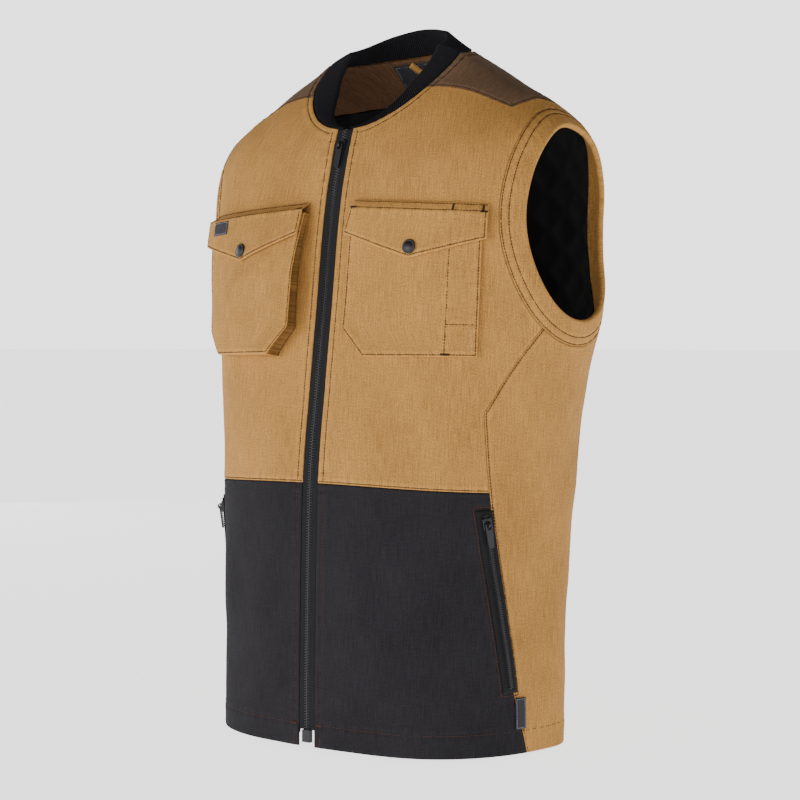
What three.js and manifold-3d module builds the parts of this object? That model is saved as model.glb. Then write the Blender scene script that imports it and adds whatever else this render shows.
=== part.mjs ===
import * as THREE from 'three';
import { mergeVertices } from 'three/addons/utils/BufferGeometryUtils.js';
import Module from 'manifold-3d';

// Utility work vest in its worn form, empty. Millimetres, +Z up, the front faces -Y, the wearer's left is +X.
// The origin lies midway between the two shoulder ridges beside the neck.

const wasm = await Module();
wasm.setup();

// Body of the vest
const body_length = 700;
const chest_half_width = 236;
const front_depth = 142;
const back_depth = 124;

// Cloth
const canvas_thickness = 1.2;
const lining_thickness = 2.4;
const lining_clearance = 2.6;
const seam_gap = 0.4;
const lining_seam_gap = 4.6;
const lining_zip_gap = 3;
const lay_gap = 0.9;
const fold_depth = 5;

// Armhole
const armhole_front_reach = 71;
const armhole_back_reach = 71;
const armhole_half_height = 97;
const armhole_centre_y = 17;
const armhole_drop = 177;
const band_width = 27;

// Collar
const collar_height = 30;
const collar_thickness = 4.4;
const collar_end_height = 3;
const collar_seam_gap = 1.6;
const collar_zip_gap = 1.5;
const collar_inset = 0.2;
const collar_rise_angle = 58;
const collar_front_lean = 50;
const collar_side_lean = 68;
const collar_back_lean = 36;

// Front zip
const zip_half_opening = 10;
const chain_width = 6.2;
const chain_thickness = 2.3;
const tape_thickness = 1;
const tape_depth = 0.5;
const zip_end_gap = 4;
const zip_clearance = 0.3;
const box_width = 10;
const box_height = 13;
const box_thickness = 4.6;

// Zip sliders and pull tabs
const slider_width = 9.4;
const slider_length = 11;
const slider_plate = 1.2;
const slider_clearance = 0.35;
const bail_outer_radius = 3.1;
const bail_hole_radius = 1.75;
const bail_width = 2.2;
const puller_width = 7.4;
const puller_length = 24;
const puller_thickness = 1.5;
const puller_bar = 1.5;
const puller_rim = 1.5;
const puller_eye_length = 5;
const puller_shoulder_length = 7;
const puller_rest_tilt = 4;
const slider_drop = 17;
const slider_chamfer = 0.5;

// Chest pockets and flaps
const flap_inset = 26;
const flap_top_tuck = 5;
const flap_drop = 154;
const flap_slope = 8;
const flap_width = 154;
const flap_side_height = 34;
const flap_point_height = 56;
const flap_thickness = 2.2;
const flap_flare_left = 8;
const flap_flare_right = 2;
const flap_lift_margin = 3;
const pocket_inset = 28;
const pocket_drop = 166;
const pocket_width = 147;
const pocket_height = 144;
const pocket_corner_cut = 28;
const pocket_cloth = 1.4;
const patch_pocket_depth = 3;
const bellows_mouth_depth = 9;
const bellows_depth = 20;
const bellows_side_depth = 10;
const bellows_fall = 62;
const snap_diameter = 14.6;
const snap_thickness = 3;
const snap_rim = 0.8;
const snap_groove_radius = 4.7;
const snap_crown_radius = 3.9;
const snap_drop = 199;

// Side pocket zips
const side_zip_top_distance = 189;
const side_zip_bottom_distance = 222;
const side_zip_waist_gap = 15.2;
const side_zip_length = 181;
const side_tape_width = 17;
const side_chain_width = 5;
const side_chain_thickness = 1.8;
const side_chain_inset = 4;
const side_slider_drop = 13;

// Labels and loop
const flap_label_width = 25;
const flap_label_height = 14;
const flap_label_drop = 172;
const hem_tag_width = 13;
const hem_tag_height = 31;
const hem_tag_rise = 23;
const hem_tag_distance = 235;
const label_thickness = 0.8;
const label_gap = 0.8;
const neck_label_width = 104;
const neck_label_height = 38;
const neck_label_drop = 4;
const loop_width = 8;
const loop_thickness = 1.4;
const loop_span = 62;
const loop_sag = 30;
const neck_piece_drop = 3;
const size_tab_width = 11;
const size_tab_height = 13;
const size_tab_offset = 43;

// Level sections from the hem to the neck seam. Heights are shares of body_length, the half width is a share of
// chest_half_width, front y is a share of front_depth, side y and back y are shares of back_depth. The fullness
// columns round the front and back, and the ridge column says how sharply the section rises to the side.
const LEVELS = [
  { name: 'hem', front_z: -1.0, side_z: -1.003, back_z: -1.006, half_width: 0.805,
    front_y: -1.0, side_y: 0.161, back_y: 0.79, front_full: 0.3, back_full: 0.3, ridge: 2 },
  { name: 'hip', front_z: -0.857, side_z: -0.857, back_z: -0.857, half_width: 0.809,
    front_y: -0.993, side_y: 0.161, back_y: 0.806, front_full: 0.3, back_full: 0.3, ridge: 2 },
  { name: 'waist', front_z: -0.623, side_z: -0.634, back_z: -0.634, half_width: 0.831,
    front_y: -0.958, side_y: 0.161, back_y: 1.0, front_full: 0.3, back_full: 0.3, ridge: 2 },
  { name: 'ribs', front_z: -0.486, side_z: -0.49, back_z: -0.49, half_width: 0.89,
    front_y: -0.88, side_y: 0.177, back_y: 0.984, front_full: 0.3, back_full: 0.32, ridge: 2 },
  { name: 'armpit', front_z: -0.379, side_z: -0.386, back_z: -0.386, half_width: 0.958,
    front_y: -0.81, side_y: 0.21, back_y: 0.968, front_full: 0.3, back_full: 0.34, ridge: 2 },
  { name: 'chest', front_z: -0.286, side_z: -0.286, back_z: -0.286, half_width: 1.0,
    front_y: -0.754, side_y: 0.21, back_y: 0.984, front_full: 0.3, back_full: 0.36, ridge: 2 },
  { name: 'armhole', front_z: -0.214, side_z: -0.186, back_z: -0.183, half_width: 0.992,
    front_y: -0.697, side_y: 0.177, back_y: 0.984, front_full: 0.3, back_full: 0.34, ridge: 2 },
  { name: 'tip', front_z: -0.169, side_z: -0.114, back_z: -0.094, half_width: 0.89,
    front_y: -0.645, side_y: 0.113, back_y: 0.935, front_full: 0.24, back_full: 0.3, ridge: 2 },
  { name: 'shoulder', front_z: -0.14, side_z: -0.051, back_z: -0.029, half_width: 0.619,
    front_y: -0.605, side_y: 0.048, back_y: 0.806, front_full: 0.12, back_full: 0.18, ridge: 1.7 },
  { name: 'neck', front_z: -0.114, side_z: 0, back_z: 0.017, half_width: 0.364,
    front_y: -0.563, side_y: 0, back_y: 0.6, front_full: 0.05, back_full: 0.05, ridge: 1.04 },
];
const WAIST = 2;
const NECK = LEVELS.length - 1;

// Soft folds of the worn cloth: the middle of each (degrees from the centre front, and level), its reach in
// degrees and levels, the degrees it leans over per level, and its height as a share of fold_depth
const FOLDS = [
  { name: 'right armpit pull', at: -62, level: 3.5, reach: 9, rise: 0.9, lean: 2, height: -0.6 },
  { name: 'left armpit pull', at: 66, level: 3.3, reach: 8, rise: 0.8, lean: -2, height: -0.5 },
  { name: 'right belly hollow', at: -35, level: 1.3, reach: 12, rise: 1.1, lean: 1, height: -0.7 },
  { name: 'left belly swell', at: 38, level: 1.0, reach: 14, rise: 1.2, lean: 0, height: 0.5 },
  { name: 'left side hollow', at: 97, level: 2.2, reach: 13, rise: 1.1, lean: 1, height: -0.8 },
  { name: 'right side hollow', at: -97, level: 2.4, reach: 13, rise: 1.1, lean: -1, height: -0.8 },
  { name: 'spine hollow', at: 180, level: 3.4, reach: 16, rise: 1.6, lean: 0, height: -1.0 },
  { name: 'left back fold', at: 146, level: 2.0, reach: 8, rise: 1.3, lean: 1.2, height: 0.7 },
  { name: 'right back fold', at: -148, level: 2.2, reach: 8, rise: 1.3, lean: -1.2, height: 0.7 },
];

// Seams of the left side, as degrees from the centre front and levels
const SIDE_SEAM = { kink: [56.6, 2.74], waist: [62.1, WAIST], hem: [78, 0] };
const BACK_SEAM_HEM = [118, 0];
const YOKE = {
  front_neck: [60, NECK], side_neck: [90, NECK], back_neck: [130, NECK],
  front_tip: [70, 7.5], back_tip: [110, 7.5],
};
const YOKE_RIDGE_LEVEL = 7.6;
const FACING_LEVEL = 7.72;
const FACING_FRONT = 92;

// How many steps the panels take around the armhole, from its middle in front, and the steps where seams meet it
const ARMHOLE_STEPS = 36;
const TOP_STEP = 9;
const BACK_SEAM_STEP = 24;
const BOTTOM_STEP = 27;
const SIDE_SEAM_STEP = 30;

// Where a flap's point and snap lie across it, and the label on the right one
const FLAP_POINT_SHARE = 0.52;
const FLAP_LABEL_SHARE = 0.79;

const TAN = 0xb88f5a;
const BLACK = 0x2d2b2d;
const BROWN = 0x7d6448;
const RIB_BLACK = 0x19181c;
const LINING_BLACK = 0x17171a;
const METAL = 0x2c2c30;
const LABEL_GREY = 0x464248;
const TAB_RED = 0x8a2f2c;

const CLOTH = { roughness: 0.92, metalness: 0 };
const HARD = { roughness: 0.42, metalness: 0.85 };

const vest = new THREE.Group();

function add(name, geometry, color, look, matrix) {
  const mesh = new THREE.Mesh(geometry, new THREE.MeshStandardMaterial({ color, ...look }));
  mesh.name = name;
  if (matrix) mesh.applyMatrix4(matrix);
  vest.add(mesh);
}

// Surface of the vest

const SCALES = {
  front_z: body_length, side_z: body_length, back_z: body_length, half_width: chest_half_width,
  front_y: front_depth, side_y: back_depth, back_y: back_depth, front_full: 1, back_full: 1, ridge: 1,
};

function levelValue(index, key) {
  if (index < 0) return 2 * levelValue(0, key) - levelValue(1, key);
  if (index > NECK) return 2 * levelValue(NECK, key) - levelValue(NECK - 1, key);
  return LEVELS[index][key] * SCALES[key];
}

function spline(level, key) {
  const i = Math.min(Math.max(Math.floor(level), 0), NECK - 1);
  const t = level - i;
  const [a, b, c, d] = [i - 1, i, i + 1, i + 2].map((k) => levelValue(k, key));
  const bend = (2 * a - 5 * b + 4 * c - d) * t * t;
  const twist = (3 * b - a - 3 * c + d) * t * t * t;
  return 0.5 * (2 * b + (c - a) * t + bend + twist);
}

function smoothPoint(theta, level) {
  const c = Math.cos(theta);
  const s = Math.sin(theta);
  const face = c > 0 ? 'front' : 'back';
  const reach = Math.abs(c);
  const side_y = spline(level, 'side_y');
  const side_z = spline(level, 'side_z');
  const swell = 1 + spline(level, face + '_full') * s * s;
  return new THREE.Vector3(
    spline(level, 'half_width') * s,
    side_y + (spline(level, face + '_y') - side_y) * reach * swell,
    side_z + (spline(level, face + '_z') - side_z) * Math.pow(reach, spline(level, 'ridge')),
  );
}

function normalAt(theta, level) {
  const e = 0.002;
  const low = Math.max(level - e, 0);
  const high = Math.min(level + e, NECK);
  const along = smoothPoint(theta + e, level).sub(smoothPoint(theta - e, level));
  const up = smoothPoint(theta, high).sub(smoothPoint(theta, low));
  return along.cross(up).normalize();
}

function foldHeight(theta, level) {
  let total = 0;
  for (const fold of FOLDS) {
    const away = theta / deg - fold.at;
    const around = away - 360 * Math.round(away / 360);
    const climb = level - fold.level;
    const across = (around - climb * fold.lean) / fold.reach;
    total += fold.height * fold_depth * Math.exp(-across * across - (climb / fold.rise) ** 2);
  }
  return total;
}

const deg = Math.PI / 180;

function skin(theta, level, depth) {
  const point = smoothPoint(theta, level);
  return point.addScaledVector(normalAt(theta, level), foldHeight(theta, level) + depth);
}

function thetaAtX(x, level) {
  return Math.asin(x / spline(level, 'half_width'));
}

// The level cut at a height, as angles, levels and distances along the cloth from the centre front
const slices = new Map();

function sliceAt(z) {
  const key = z.toFixed(3);
  if (slices.has(key)) return slices.get(key);
  const slice = [];
  let distance = 0;
  let last = null;
  for (let k = 0; k <= 60; k += 1) {
    const theta = (k / 60) * 135 * deg;
    let low = 0;
    let high = NECK;
    for (let step = 0; step < 22; step += 1) {
      const middle = (low + high) / 2;
      if (smoothPoint(theta, middle).z < z) low = middle;
      else high = middle;
    }
    const point = smoothPoint(theta, low);
    if (last) distance += point.distanceTo(last);
    last = point;
    slice.push({ theta, level: low, distance });
  }
  slices.set(key, slice);
  return slice;
}

function onSkin(distance, z) {
  const slice = sliceAt(z);
  const side = distance < 0 ? -1 : 1;
  const d = Math.abs(distance);
  let k = 1;
  while (k < slice.length - 1 && slice[k].distance < d) k += 1;
  const a = slice[k - 1];
  const b = slice[k];
  const t = (d - a.distance) / (b.distance - a.distance);
  return [side * (a.theta + (b.theta - a.theta) * t), a.level + (b.level - a.level) * t];
}

function atDistance(distance, z, depth) {
  const [theta, level] = onSkin(distance, z);
  return skin(theta, level, depth);
}

// Closed solids from grids of points

function closedSheet(outer, inner, wrap = false) {
  const rows = outer.length;
  const cols = outer[0].length;
  const count = rows * cols;
  const points = [...outer.flat(), ...inner.flat()];
  const index = [];
  const quad = (a, b, c, d) => index.push(a, b, c, a, c, d);
  const id = (i, j) => i * cols + (j % cols);
  const across = wrap ? cols : cols - 1;
  for (let i = 0; i < rows - 1; i += 1) {
    for (let j = 0; j < across; j += 1) {
      const ring = [id(i, j), id(i, j + 1), id(i + 1, j + 1), id(i + 1, j)];
      quad(...ring);
      quad(...ring.reverse().map((k) => k + count));
    }
  }
  const edge = (a, b) => quad(b, a, a + count, b + count);
  for (let j = 0; j < across; j += 1) {
    edge(id(0, j), id(0, j + 1));
    edge(id(rows - 1, j + 1), id(rows - 1, j));
  }
  if (!wrap) {
    for (let i = 0; i < rows - 1; i += 1) {
      edge(id(i + 1, 0), id(i, 0));
      edge(id(i, cols - 1), id(i + 1, cols - 1));
    }
  }
  const geometry = new THREE.BufferGeometry().setFromPoints(points);
  geometry.setIndex(index);
  if (signedVolume(geometry) < 0) geometry.setIndex(index.reverse());
  geometry.computeVertexNormals();
  return geometry;
}

function signedVolume(geometry) {
  const position = geometry.getAttribute('position');
  const index = geometry.index.array;
  const [a, b, c] = [new THREE.Vector3(), new THREE.Vector3(), new THREE.Vector3()];
  let volume = 0;
  for (let k = 0; k < index.length; k += 3) {
    a.fromBufferAttribute(position, index[k]);
    b.fromBufferAttribute(position, index[k + 1]);
    c.fromBufferAttribute(position, index[k + 2]);
    volume += a.dot(b.cross(c)) / 6;
  }
  return volume;
}

// The step that keeps both edges at a corner the same distance inside the line before, point, after
function cornerStep(before, point, after, normal) {
  const sides = [[before, point], [point, after]]
    .filter(([a, b]) => a.distanceTo(b) > 0)
    .map(([a, b]) => normal.clone().cross(b.clone().sub(a)).normalize());
  const first = sides[0];
  const last = sides[sides.length - 1];
  return first.clone().add(last).divideScalar(1 + Math.max(first.dot(last), -0.4));
}

// How far each edge point of a grid moves in, so that neighbouring panels keep the gap between them
function edgeShifts(points, normals, amount, wrap) {
  const rows = points.length;
  const cols = points[0].length;
  const col = (j) => (wrap ? (j + cols) % cols : Math.min(Math.max(j, 0), cols - 1));
  const row = (i) => Math.min(Math.max(i, 0), rows - 1);
  return points.map((pointLine, i) => pointLine.map((point, j) => {
    const shift = new THREE.Vector3();
    const along = cornerStep(points[i][col(j - 1)], point, points[i][col(j + 1)], normals[i][j]);
    const up = cornerStep(points[row(i - 1)][j], point, points[row(i + 1)][j], normals[i][j]);
    if (i === 0) shift.addScaledVector(along, amount);
    if (i === rows - 1) shift.addScaledVector(along, -amount);
    if (!wrap && j === 0) shift.addScaledVector(up, -amount);
    if (!wrap && j === cols - 1) shift.addScaledVector(up, amount);
    return shift;
  }));
}

// A cloth panel over a grid of [theta, level], between two depths, on the wearer's left (1) or right (-1)
function panel(grid, outer_depth, inner_depth, side = 1, wrap = false, gap = seam_gap) {
  const layer = (depth) => grid.map((row) => row.map(([theta, level]) => skin(side * theta, level, depth)));
  const normals = grid.map((row) => row.map(([theta, level]) => normalAt(side * theta, level)));
  const outer = layer(outer_depth);
  const inner = layer(inner_depth);
  const shifts = edgeShifts(outer, normals, (side * gap) / 2, wrap);
  const moved = (points) => points.map((row, i) => row.map((point, j) => point.clone().add(shifts[i][j])));
  return closedSheet(moved(outer), moved(inner), wrap);
}

// A grid of [theta, level] between four edges: bottom and top run one way, left and right run up. Rows run
// straight from left to right, and bend towards the shapes of the bottom and top as they near them.
function fill(bottom, top, left, right) {
  const cols = bottom.length - 1;
  const rows = left.length - 1;
  const share = (edge, j) => (edge[j][0] - edge[0][0]) / (edge[cols][0] - edge[0][0]);
  const bend = (edge, j, k) => edge[j][k] - edge[0][k] - (edge[cols][k] - edge[0][k]) * share(edge, j);
  return left.map((start, i) => bottom.map((_, j) => {
    const w = i / rows;
    const u = (1 - w) * share(bottom, j) + w * share(top, j);
    return [0, 1].map((k) => start[k] + (right[i][k] - start[k]) * u
      + w * w * bend(top, j, k) + (1 - w) * (1 - w) * bend(bottom, j, k));
  }));
}

function line(from, to, steps) {
  return Array.from({ length: steps + 1 }, (_, k) => [
    from[0] + ((to[0] - from[0]) * k) / steps,
    from[1] + ((to[1] - from[1]) * k) / steps,
  ]);
}

const turned = ([degrees, level]) => [degrees * deg, level];

function route(...parts) {
  return parts.reduce((whole, part) => [...whole, ...part.slice(1)]);
}

// Armhole edge and the seam around its band, on the left side

function levelPoint(y, z, start) {
  let [theta, level] = start;
  const e = 0.001;
  for (let step = 0; step < 40; step += 1) {
    const here = smoothPoint(theta, level);
    const over = smoothPoint(theta + e, level).sub(here).divideScalar(e);
    const up = here.clone().sub(smoothPoint(theta, level - e)).divideScalar(e);
    const miss = [y - here.y, z - here.z];
    const area = over.y * up.z - over.z * up.y;
    const limit = (value) => Math.min(Math.max(value, -0.2), 0.2);
    theta += limit((miss[0] * up.z - miss[1] * up.y) / area);
    level = Math.min(level + limit((over.y * miss[1] - over.z * miss[0]) / area), NECK - 0.01);
  }
  return [theta, level];
}

function armholeEdge() {
  const edge = [];
  let last = [75 * deg, 5];
  for (let k = 0; k < ARMHOLE_STEPS; k += 1) {
    const turn = (k / ARMHOLE_STEPS) * 2 * Math.PI;
    const reach = Math.cos(turn) > 0 ? armhole_front_reach : armhole_back_reach;
    const y = armhole_centre_y - reach * Math.cos(turn);
    const z = -armhole_drop + armhole_half_height * Math.sin(turn);
    last = levelPoint(y, z, last);
    edge.push(last);
  }
  return edge;
}

// Moves a closed line outward over the surface by a distance
function movedOut(edge, distance) {
  const steps = 4;
  let now = edge;
  for (let step = 0; step < steps; step += 1) {
    const points = now.map(([theta, level]) => smoothPoint(theta, level));
    now = now.map(([theta, level], k) => {
      const e = 0.001;
      const over = smoothPoint(theta + e, level).sub(points[k]).divideScalar(e);
      const up = points[k].clone().sub(smoothPoint(theta, level - e)).divideScalar(e);
      const count = now.length;
      const along = points[(k + 1) % count].clone().sub(points[(k + count - 1) % count]).normalize();
      const out = normalAt(theta, level).cross(along).normalize().multiplyScalar(distance / steps);
      const [aa, bb, ab] = [over.dot(over), up.dot(up), over.dot(up)];
      const [ad, bd] = [over.dot(out), up.dot(out)];
      const area = aa * bb - ab * ab;
      return [theta + (ad * bb - bd * ab) / area, level + (bd * aa - ad * ab) / area];
    });
  }
  return now;
}

const ARMHOLE = armholeEdge();
const BAND_SEAM = movedOut(ARMHOLE, band_width);

function bandSeam(from, to) {
  const step = Math.sign(to - from);
  const count = Math.abs(to - from);
  const wrapped = (k) => (from + step * k + ARMHOLE_STEPS) % ARMHOLE_STEPS;
  return Array.from({ length: count + 1 }, (_, k) => BAND_SEAM[wrapped(k)]);
}

// Edges that panels share, on the left side

const hem_front = thetaAtX(zip_half_opening, 0);
const waist_front = thetaAtX(zip_half_opening, WAIST);
const neck_front = thetaAtX(zip_half_opening, NECK);
const side_seam_upper = route(
  line(turned(SIDE_SEAM.waist), turned(SIDE_SEAM.kink), 1),
  line(turned(SIDE_SEAM.kink), BAND_SEAM[SIDE_SEAM_STEP], 2),
);
const side_seam_lower = line(turned(SIDE_SEAM.hem), turned(SIDE_SEAM.waist), 5);
const back_seam = line(turned(BACK_SEAM_HEM), BAND_SEAM[BACK_SEAM_STEP], 8);
const yoke_ridge = [BAND_SEAM[TOP_STEP][0], YOKE_RIDGE_LEVEL];
const front_yoke_seam = line(turned(YOKE.front_neck), turned(YOKE.front_tip), 4);
const front_yoke_end = line(turned(YOKE.front_tip), yoke_ridge, 3);
const back_yoke_end = line(yoke_ridge, turned(YOKE.back_tip), 3);
const back_yoke_seam = line(turned(YOKE.back_tip), turned(YOKE.back_neck), 4);
const front_neck_seam = line([neck_front, NECK], turned(YOKE.front_neck), 3);
const front_top = route(front_neck_seam, front_yoke_seam, front_yoke_end);
const waist_seam = line([waist_front, WAIST], turned(SIDE_SEAM.waist), front_top.length - 1);

function frontEdge(from, to, steps) {
  return line([0, from], [0, to], steps).map(([, level]) => [thetaAtX(zip_half_opening, level), level]);
}

function frontUpperGrid() {
  const right = route(
    side_seam_upper,
    bandSeam(SIDE_SEAM_STEP, ARMHOLE_STEPS + TOP_STEP),
    line(BAND_SEAM[TOP_STEP], yoke_ridge, 1),
  );
  return fill(waist_seam, front_top, frontEdge(WAIST, NECK, right.length - 1), right);
}

function frontLowerGrid() {
  const bottom = line([hem_front, 0], turned(SIDE_SEAM.hem), waist_seam.length - 1);
  return fill(bottom, waist_seam, frontEdge(0, WAIST, side_seam_lower.length - 1), side_seam_lower);
}

function sidePanelGrid() {
  const top = bandSeam(SIDE_SEAM_STEP, BACK_SEAM_STEP);
  const bottom = line(turned(SIDE_SEAM.hem), turned(BACK_SEAM_HEM), top.length - 1);
  return fill(bottom, top, route(side_seam_lower, side_seam_upper), back_seam);
}

const acrossBack = (points) => points.map(([theta, level]) => [2 * Math.PI - theta, level]);

function backPanelGrid() {
  const left = route(
    back_seam,
    bandSeam(BACK_SEAM_STEP, TOP_STEP),
    line(BAND_SEAM[TOP_STEP], yoke_ridge, 1),
  );
  const half = route(back_yoke_end, back_yoke_seam);
  const neck = line(turned(YOKE.back_neck), [2 * Math.PI - YOKE.back_neck[0] * deg, NECK], 4);
  const top = route(half, neck, acrossBack(half).reverse());
  const hem_end = [2 * Math.PI - BACK_SEAM_HEM[0] * deg, 0];
  const bottom = line(turned(BACK_SEAM_HEM), hem_end, top.length - 1);
  return fill(bottom, top, left, acrossBack(left));
}

function yokeGrid() {
  const outer = route(front_yoke_end, back_yoke_end);
  const neck = route(
    line(turned(YOKE.front_neck), turned(YOKE.side_neck), front_yoke_end.length - 1),
    line(turned(YOKE.side_neck), turned(YOKE.back_neck), back_yoke_end.length - 1),
  );
  return fill(outer, neck, [...front_yoke_seam].reverse(), back_yoke_seam);
}

const lining_outer = -(canvas_thickness + lining_clearance);
const lining_inner = lining_outer - lining_thickness;

const lining_low = 0.12;
const lining_side = BAND_SEAM[BOTTOM_STEP];
const facing_corner = [FACING_FRONT * deg, FACING_LEVEL];
const everySecond = (edge) => edge.filter((_, k) => k % 2 === 0);

function liningFrontGrid() {
  const right = route(
    line([lining_side[0], lining_low], lining_side, 5),
    everySecond(bandSeam(BOTTOM_STEP, ARMHOLE_STEPS + TOP_STEP)),
    line(BAND_SEAM[TOP_STEP], facing_corner, 1),
    line(facing_corner, [FACING_FRONT * deg, NECK], 2),
  );
  const left = line([0, lining_low], [0, NECK], right.length - 1)
    .map(([, level]) => [thetaAtX(zip_half_opening + lining_zip_gap, level), level]);
  const bottom = line(left[0], right[0], 11);
  return fill(bottom, line(left[left.length - 1], right[right.length - 1], 11), left, right);
}

function liningBackGrid() {
  const left = route(
    line([lining_side[0], lining_low], lining_side, 5),
    everySecond(bandSeam(BOTTOM_STEP, TOP_STEP)),
    line(BAND_SEAM[TOP_STEP], facing_corner, 1),
  );
  const across = (from) => line(from, [2 * Math.PI - from[0], from[1]], 17);
  return fill(across(left[0]), across(facing_corner), left, acrossBack(left));
}

function facingGrid() {
  const across = (level) => line([FACING_FRONT * deg, level], [2 * Math.PI - FACING_FRONT * deg, level], 18);
  return line([0, FACING_LEVEL], [0, NECK], 3).map(([, level]) => across(level));
}

function addPanels() {
  for (const [hand, side] of [['left', 1], ['right', -1]]) {
    add(`front_upper_${hand}`, panel(frontUpperGrid(), 0, -canvas_thickness, side), TAN, CLOTH);
    add(`front_lower_${hand}`, panel(frontLowerGrid(), 0, -canvas_thickness, side), BLACK, CLOTH);
    add(`side_panel_${hand}`, panel(sidePanelGrid(), 0, -canvas_thickness, side), TAN, CLOTH);
    add(`shoulder_yoke_${hand}`, panel(yokeGrid(), 0, -canvas_thickness, side), BROWN, CLOTH);
    const band = panel([ARMHOLE, BAND_SEAM], 0, lining_inner, side, true, 2 * seam_gap);
    add(`armhole_band_${hand}`, band, TAN, CLOTH);
    const lining = panel(liningFrontGrid(), lining_outer, lining_inner, side, false, lining_seam_gap);
    add(`lining_front_${hand}`, lining, LINING_BLACK, CLOTH);
  }
  add('back_panel', panel(backPanelGrid(), 0, -canvas_thickness), TAN, CLOTH);
  const lining = panel(liningBackGrid(), lining_outer, lining_inner, 1, false, lining_seam_gap);
  add('lining_back', lining, LINING_BLACK, CLOTH);
  add('back_neck_facing', panel(facingGrid(), lining_outer, lining_inner), BROWN, CLOTH);
}

// Ribbed collar, standing on the neck seam and leaning in, lowest at the zip

function collarHeight(theta) {
  const away = Math.min(Math.min(theta, 2 * Math.PI - theta) / (collar_rise_angle * deg), 1);
  return collar_end_height + (collar_height - collar_end_height) * away * away * (3 - 2 * away);
}

function collarPoint(theta, share, depth) {
  const base = skin(theta, NECK, depth);
  const inward = new THREE.Vector3(-Math.sin(theta), Math.cos(theta), 0);
  const end_lean = Math.cos(theta) > 0 ? collar_front_lean : collar_back_lean;
  const lean = (collar_side_lean + (end_lean - collar_side_lean) * Math.cos(theta) ** 2) * deg;
  const run = collar_seam_gap + collarHeight(theta) * share;
  return base.addScaledVector(inward, run * Math.sin(lean)).add(new THREE.Vector3(0, 0, run * Math.cos(lean)));
}

function collarGeometry() {
  const start = thetaAtX(chain_width / 2 + collar_zip_gap, NECK);
  const layer = (depth) => [0, 0.5, 1].map((share) => line([start, 0], [2 * Math.PI - start, 0], 36)
    .map(([theta]) => collarPoint(theta, share, depth)));
  return closedSheet(layer(-collar_inset), layer(-collar_inset - collar_thickness));
}

// Front zip: two tapes, the chain of teeth, and the box at its foot

function zipStrip(x_from, x_to, outer_depth, inner_depth, low, high, steps) {
  const layer = (depth) => line([0, low], [0, high], steps)
    .map(([, level]) => [x_from, x_to].map((x) => skin(thetaAtX(x, level), level, depth)));
  return closedSheet(layer(outer_depth), layer(inner_depth));
}

const chain_outer = chain_thickness / 2 - tape_depth - tape_thickness / 2;

function levelAtHeight(z) {
  return onSkin(0, z)[1];
}

function addFrontZip() {
  const foot = levelAtHeight(-body_length + box_height + zip_end_gap);
  const inner_edge = chain_width / 2 + zip_clearance;
  const outer_edge = zip_half_opening - zip_clearance;
  const depths = [-tape_depth, -tape_depth - tape_thickness];
  add('front_zip_tape_left', zipStrip(inner_edge, outer_edge, ...depths, foot, NECK, 18), BLACK, CLOTH);
  add('front_zip_tape_right', zipStrip(-outer_edge, -inner_edge, ...depths, foot, NECK, 18), BLACK, CLOTH);
  const teeth = [chain_outer, chain_outer - chain_thickness];
  add('front_zip_chain', zipStrip(-chain_width / 2, chain_width / 2, ...teeth, foot, NECK, 18), METAL, HARD);
  const box = new THREE.BoxGeometry(box_width, box_height - 2 * zip_clearance, box_thickness);
  const place = frameAt((across, up) => {
    const level = levelAtHeight(-body_length + zip_end_gap + box_height / 2 + up);
    return skin(thetaAtX(across, level), level, -tape_depth - tape_thickness / 2);
  });
  add('zip_bottom_box', box, METAL, HARD, place);
}

// A frame on a surface: x across, y up along it, z out of it
function frameAt(surface) {
  const e = 1;
  const here = surface(0, 0);
  const up = surface(0, e).sub(surface(0, -e)).normalize();
  const across = surface(e, 0).sub(surface(-e, 0));
  across.addScaledVector(up, -across.dot(up)).normalize();
  const out = across.clone().cross(up);
  return new THREE.Matrix4().makeBasis(across, up, out).setPosition(here);
}

function asManifold(geometry) {
  const bare = geometry.clone();
  bare.deleteAttribute('normal');
  bare.deleteAttribute('uv');
  const merged = mergeVertices(bare, 1e-5);
  return new wasm.Manifold(new wasm.Mesh({
    numProp: 3,
    vertProperties: new Float32Array(merged.getAttribute('position').array),
    triVerts: new Uint32Array(merged.index.array),
  }));
}

function asGeometry(solid) {
  const mesh = solid.getMesh();
  const geometry = new THREE.BufferGeometry();
  geometry.setAttribute('position', new THREE.BufferAttribute(new Float32Array(mesh.vertProperties), 3));
  geometry.setIndex(new THREE.BufferAttribute(new Uint32Array(mesh.triVerts), 1));
  geometry.computeVertexNormals();
  return geometry;
}

// Height of the pull tab's axis above the chain's face
const pivot_height = slider_clearance + slider_plate + bail_hole_radius;

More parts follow.
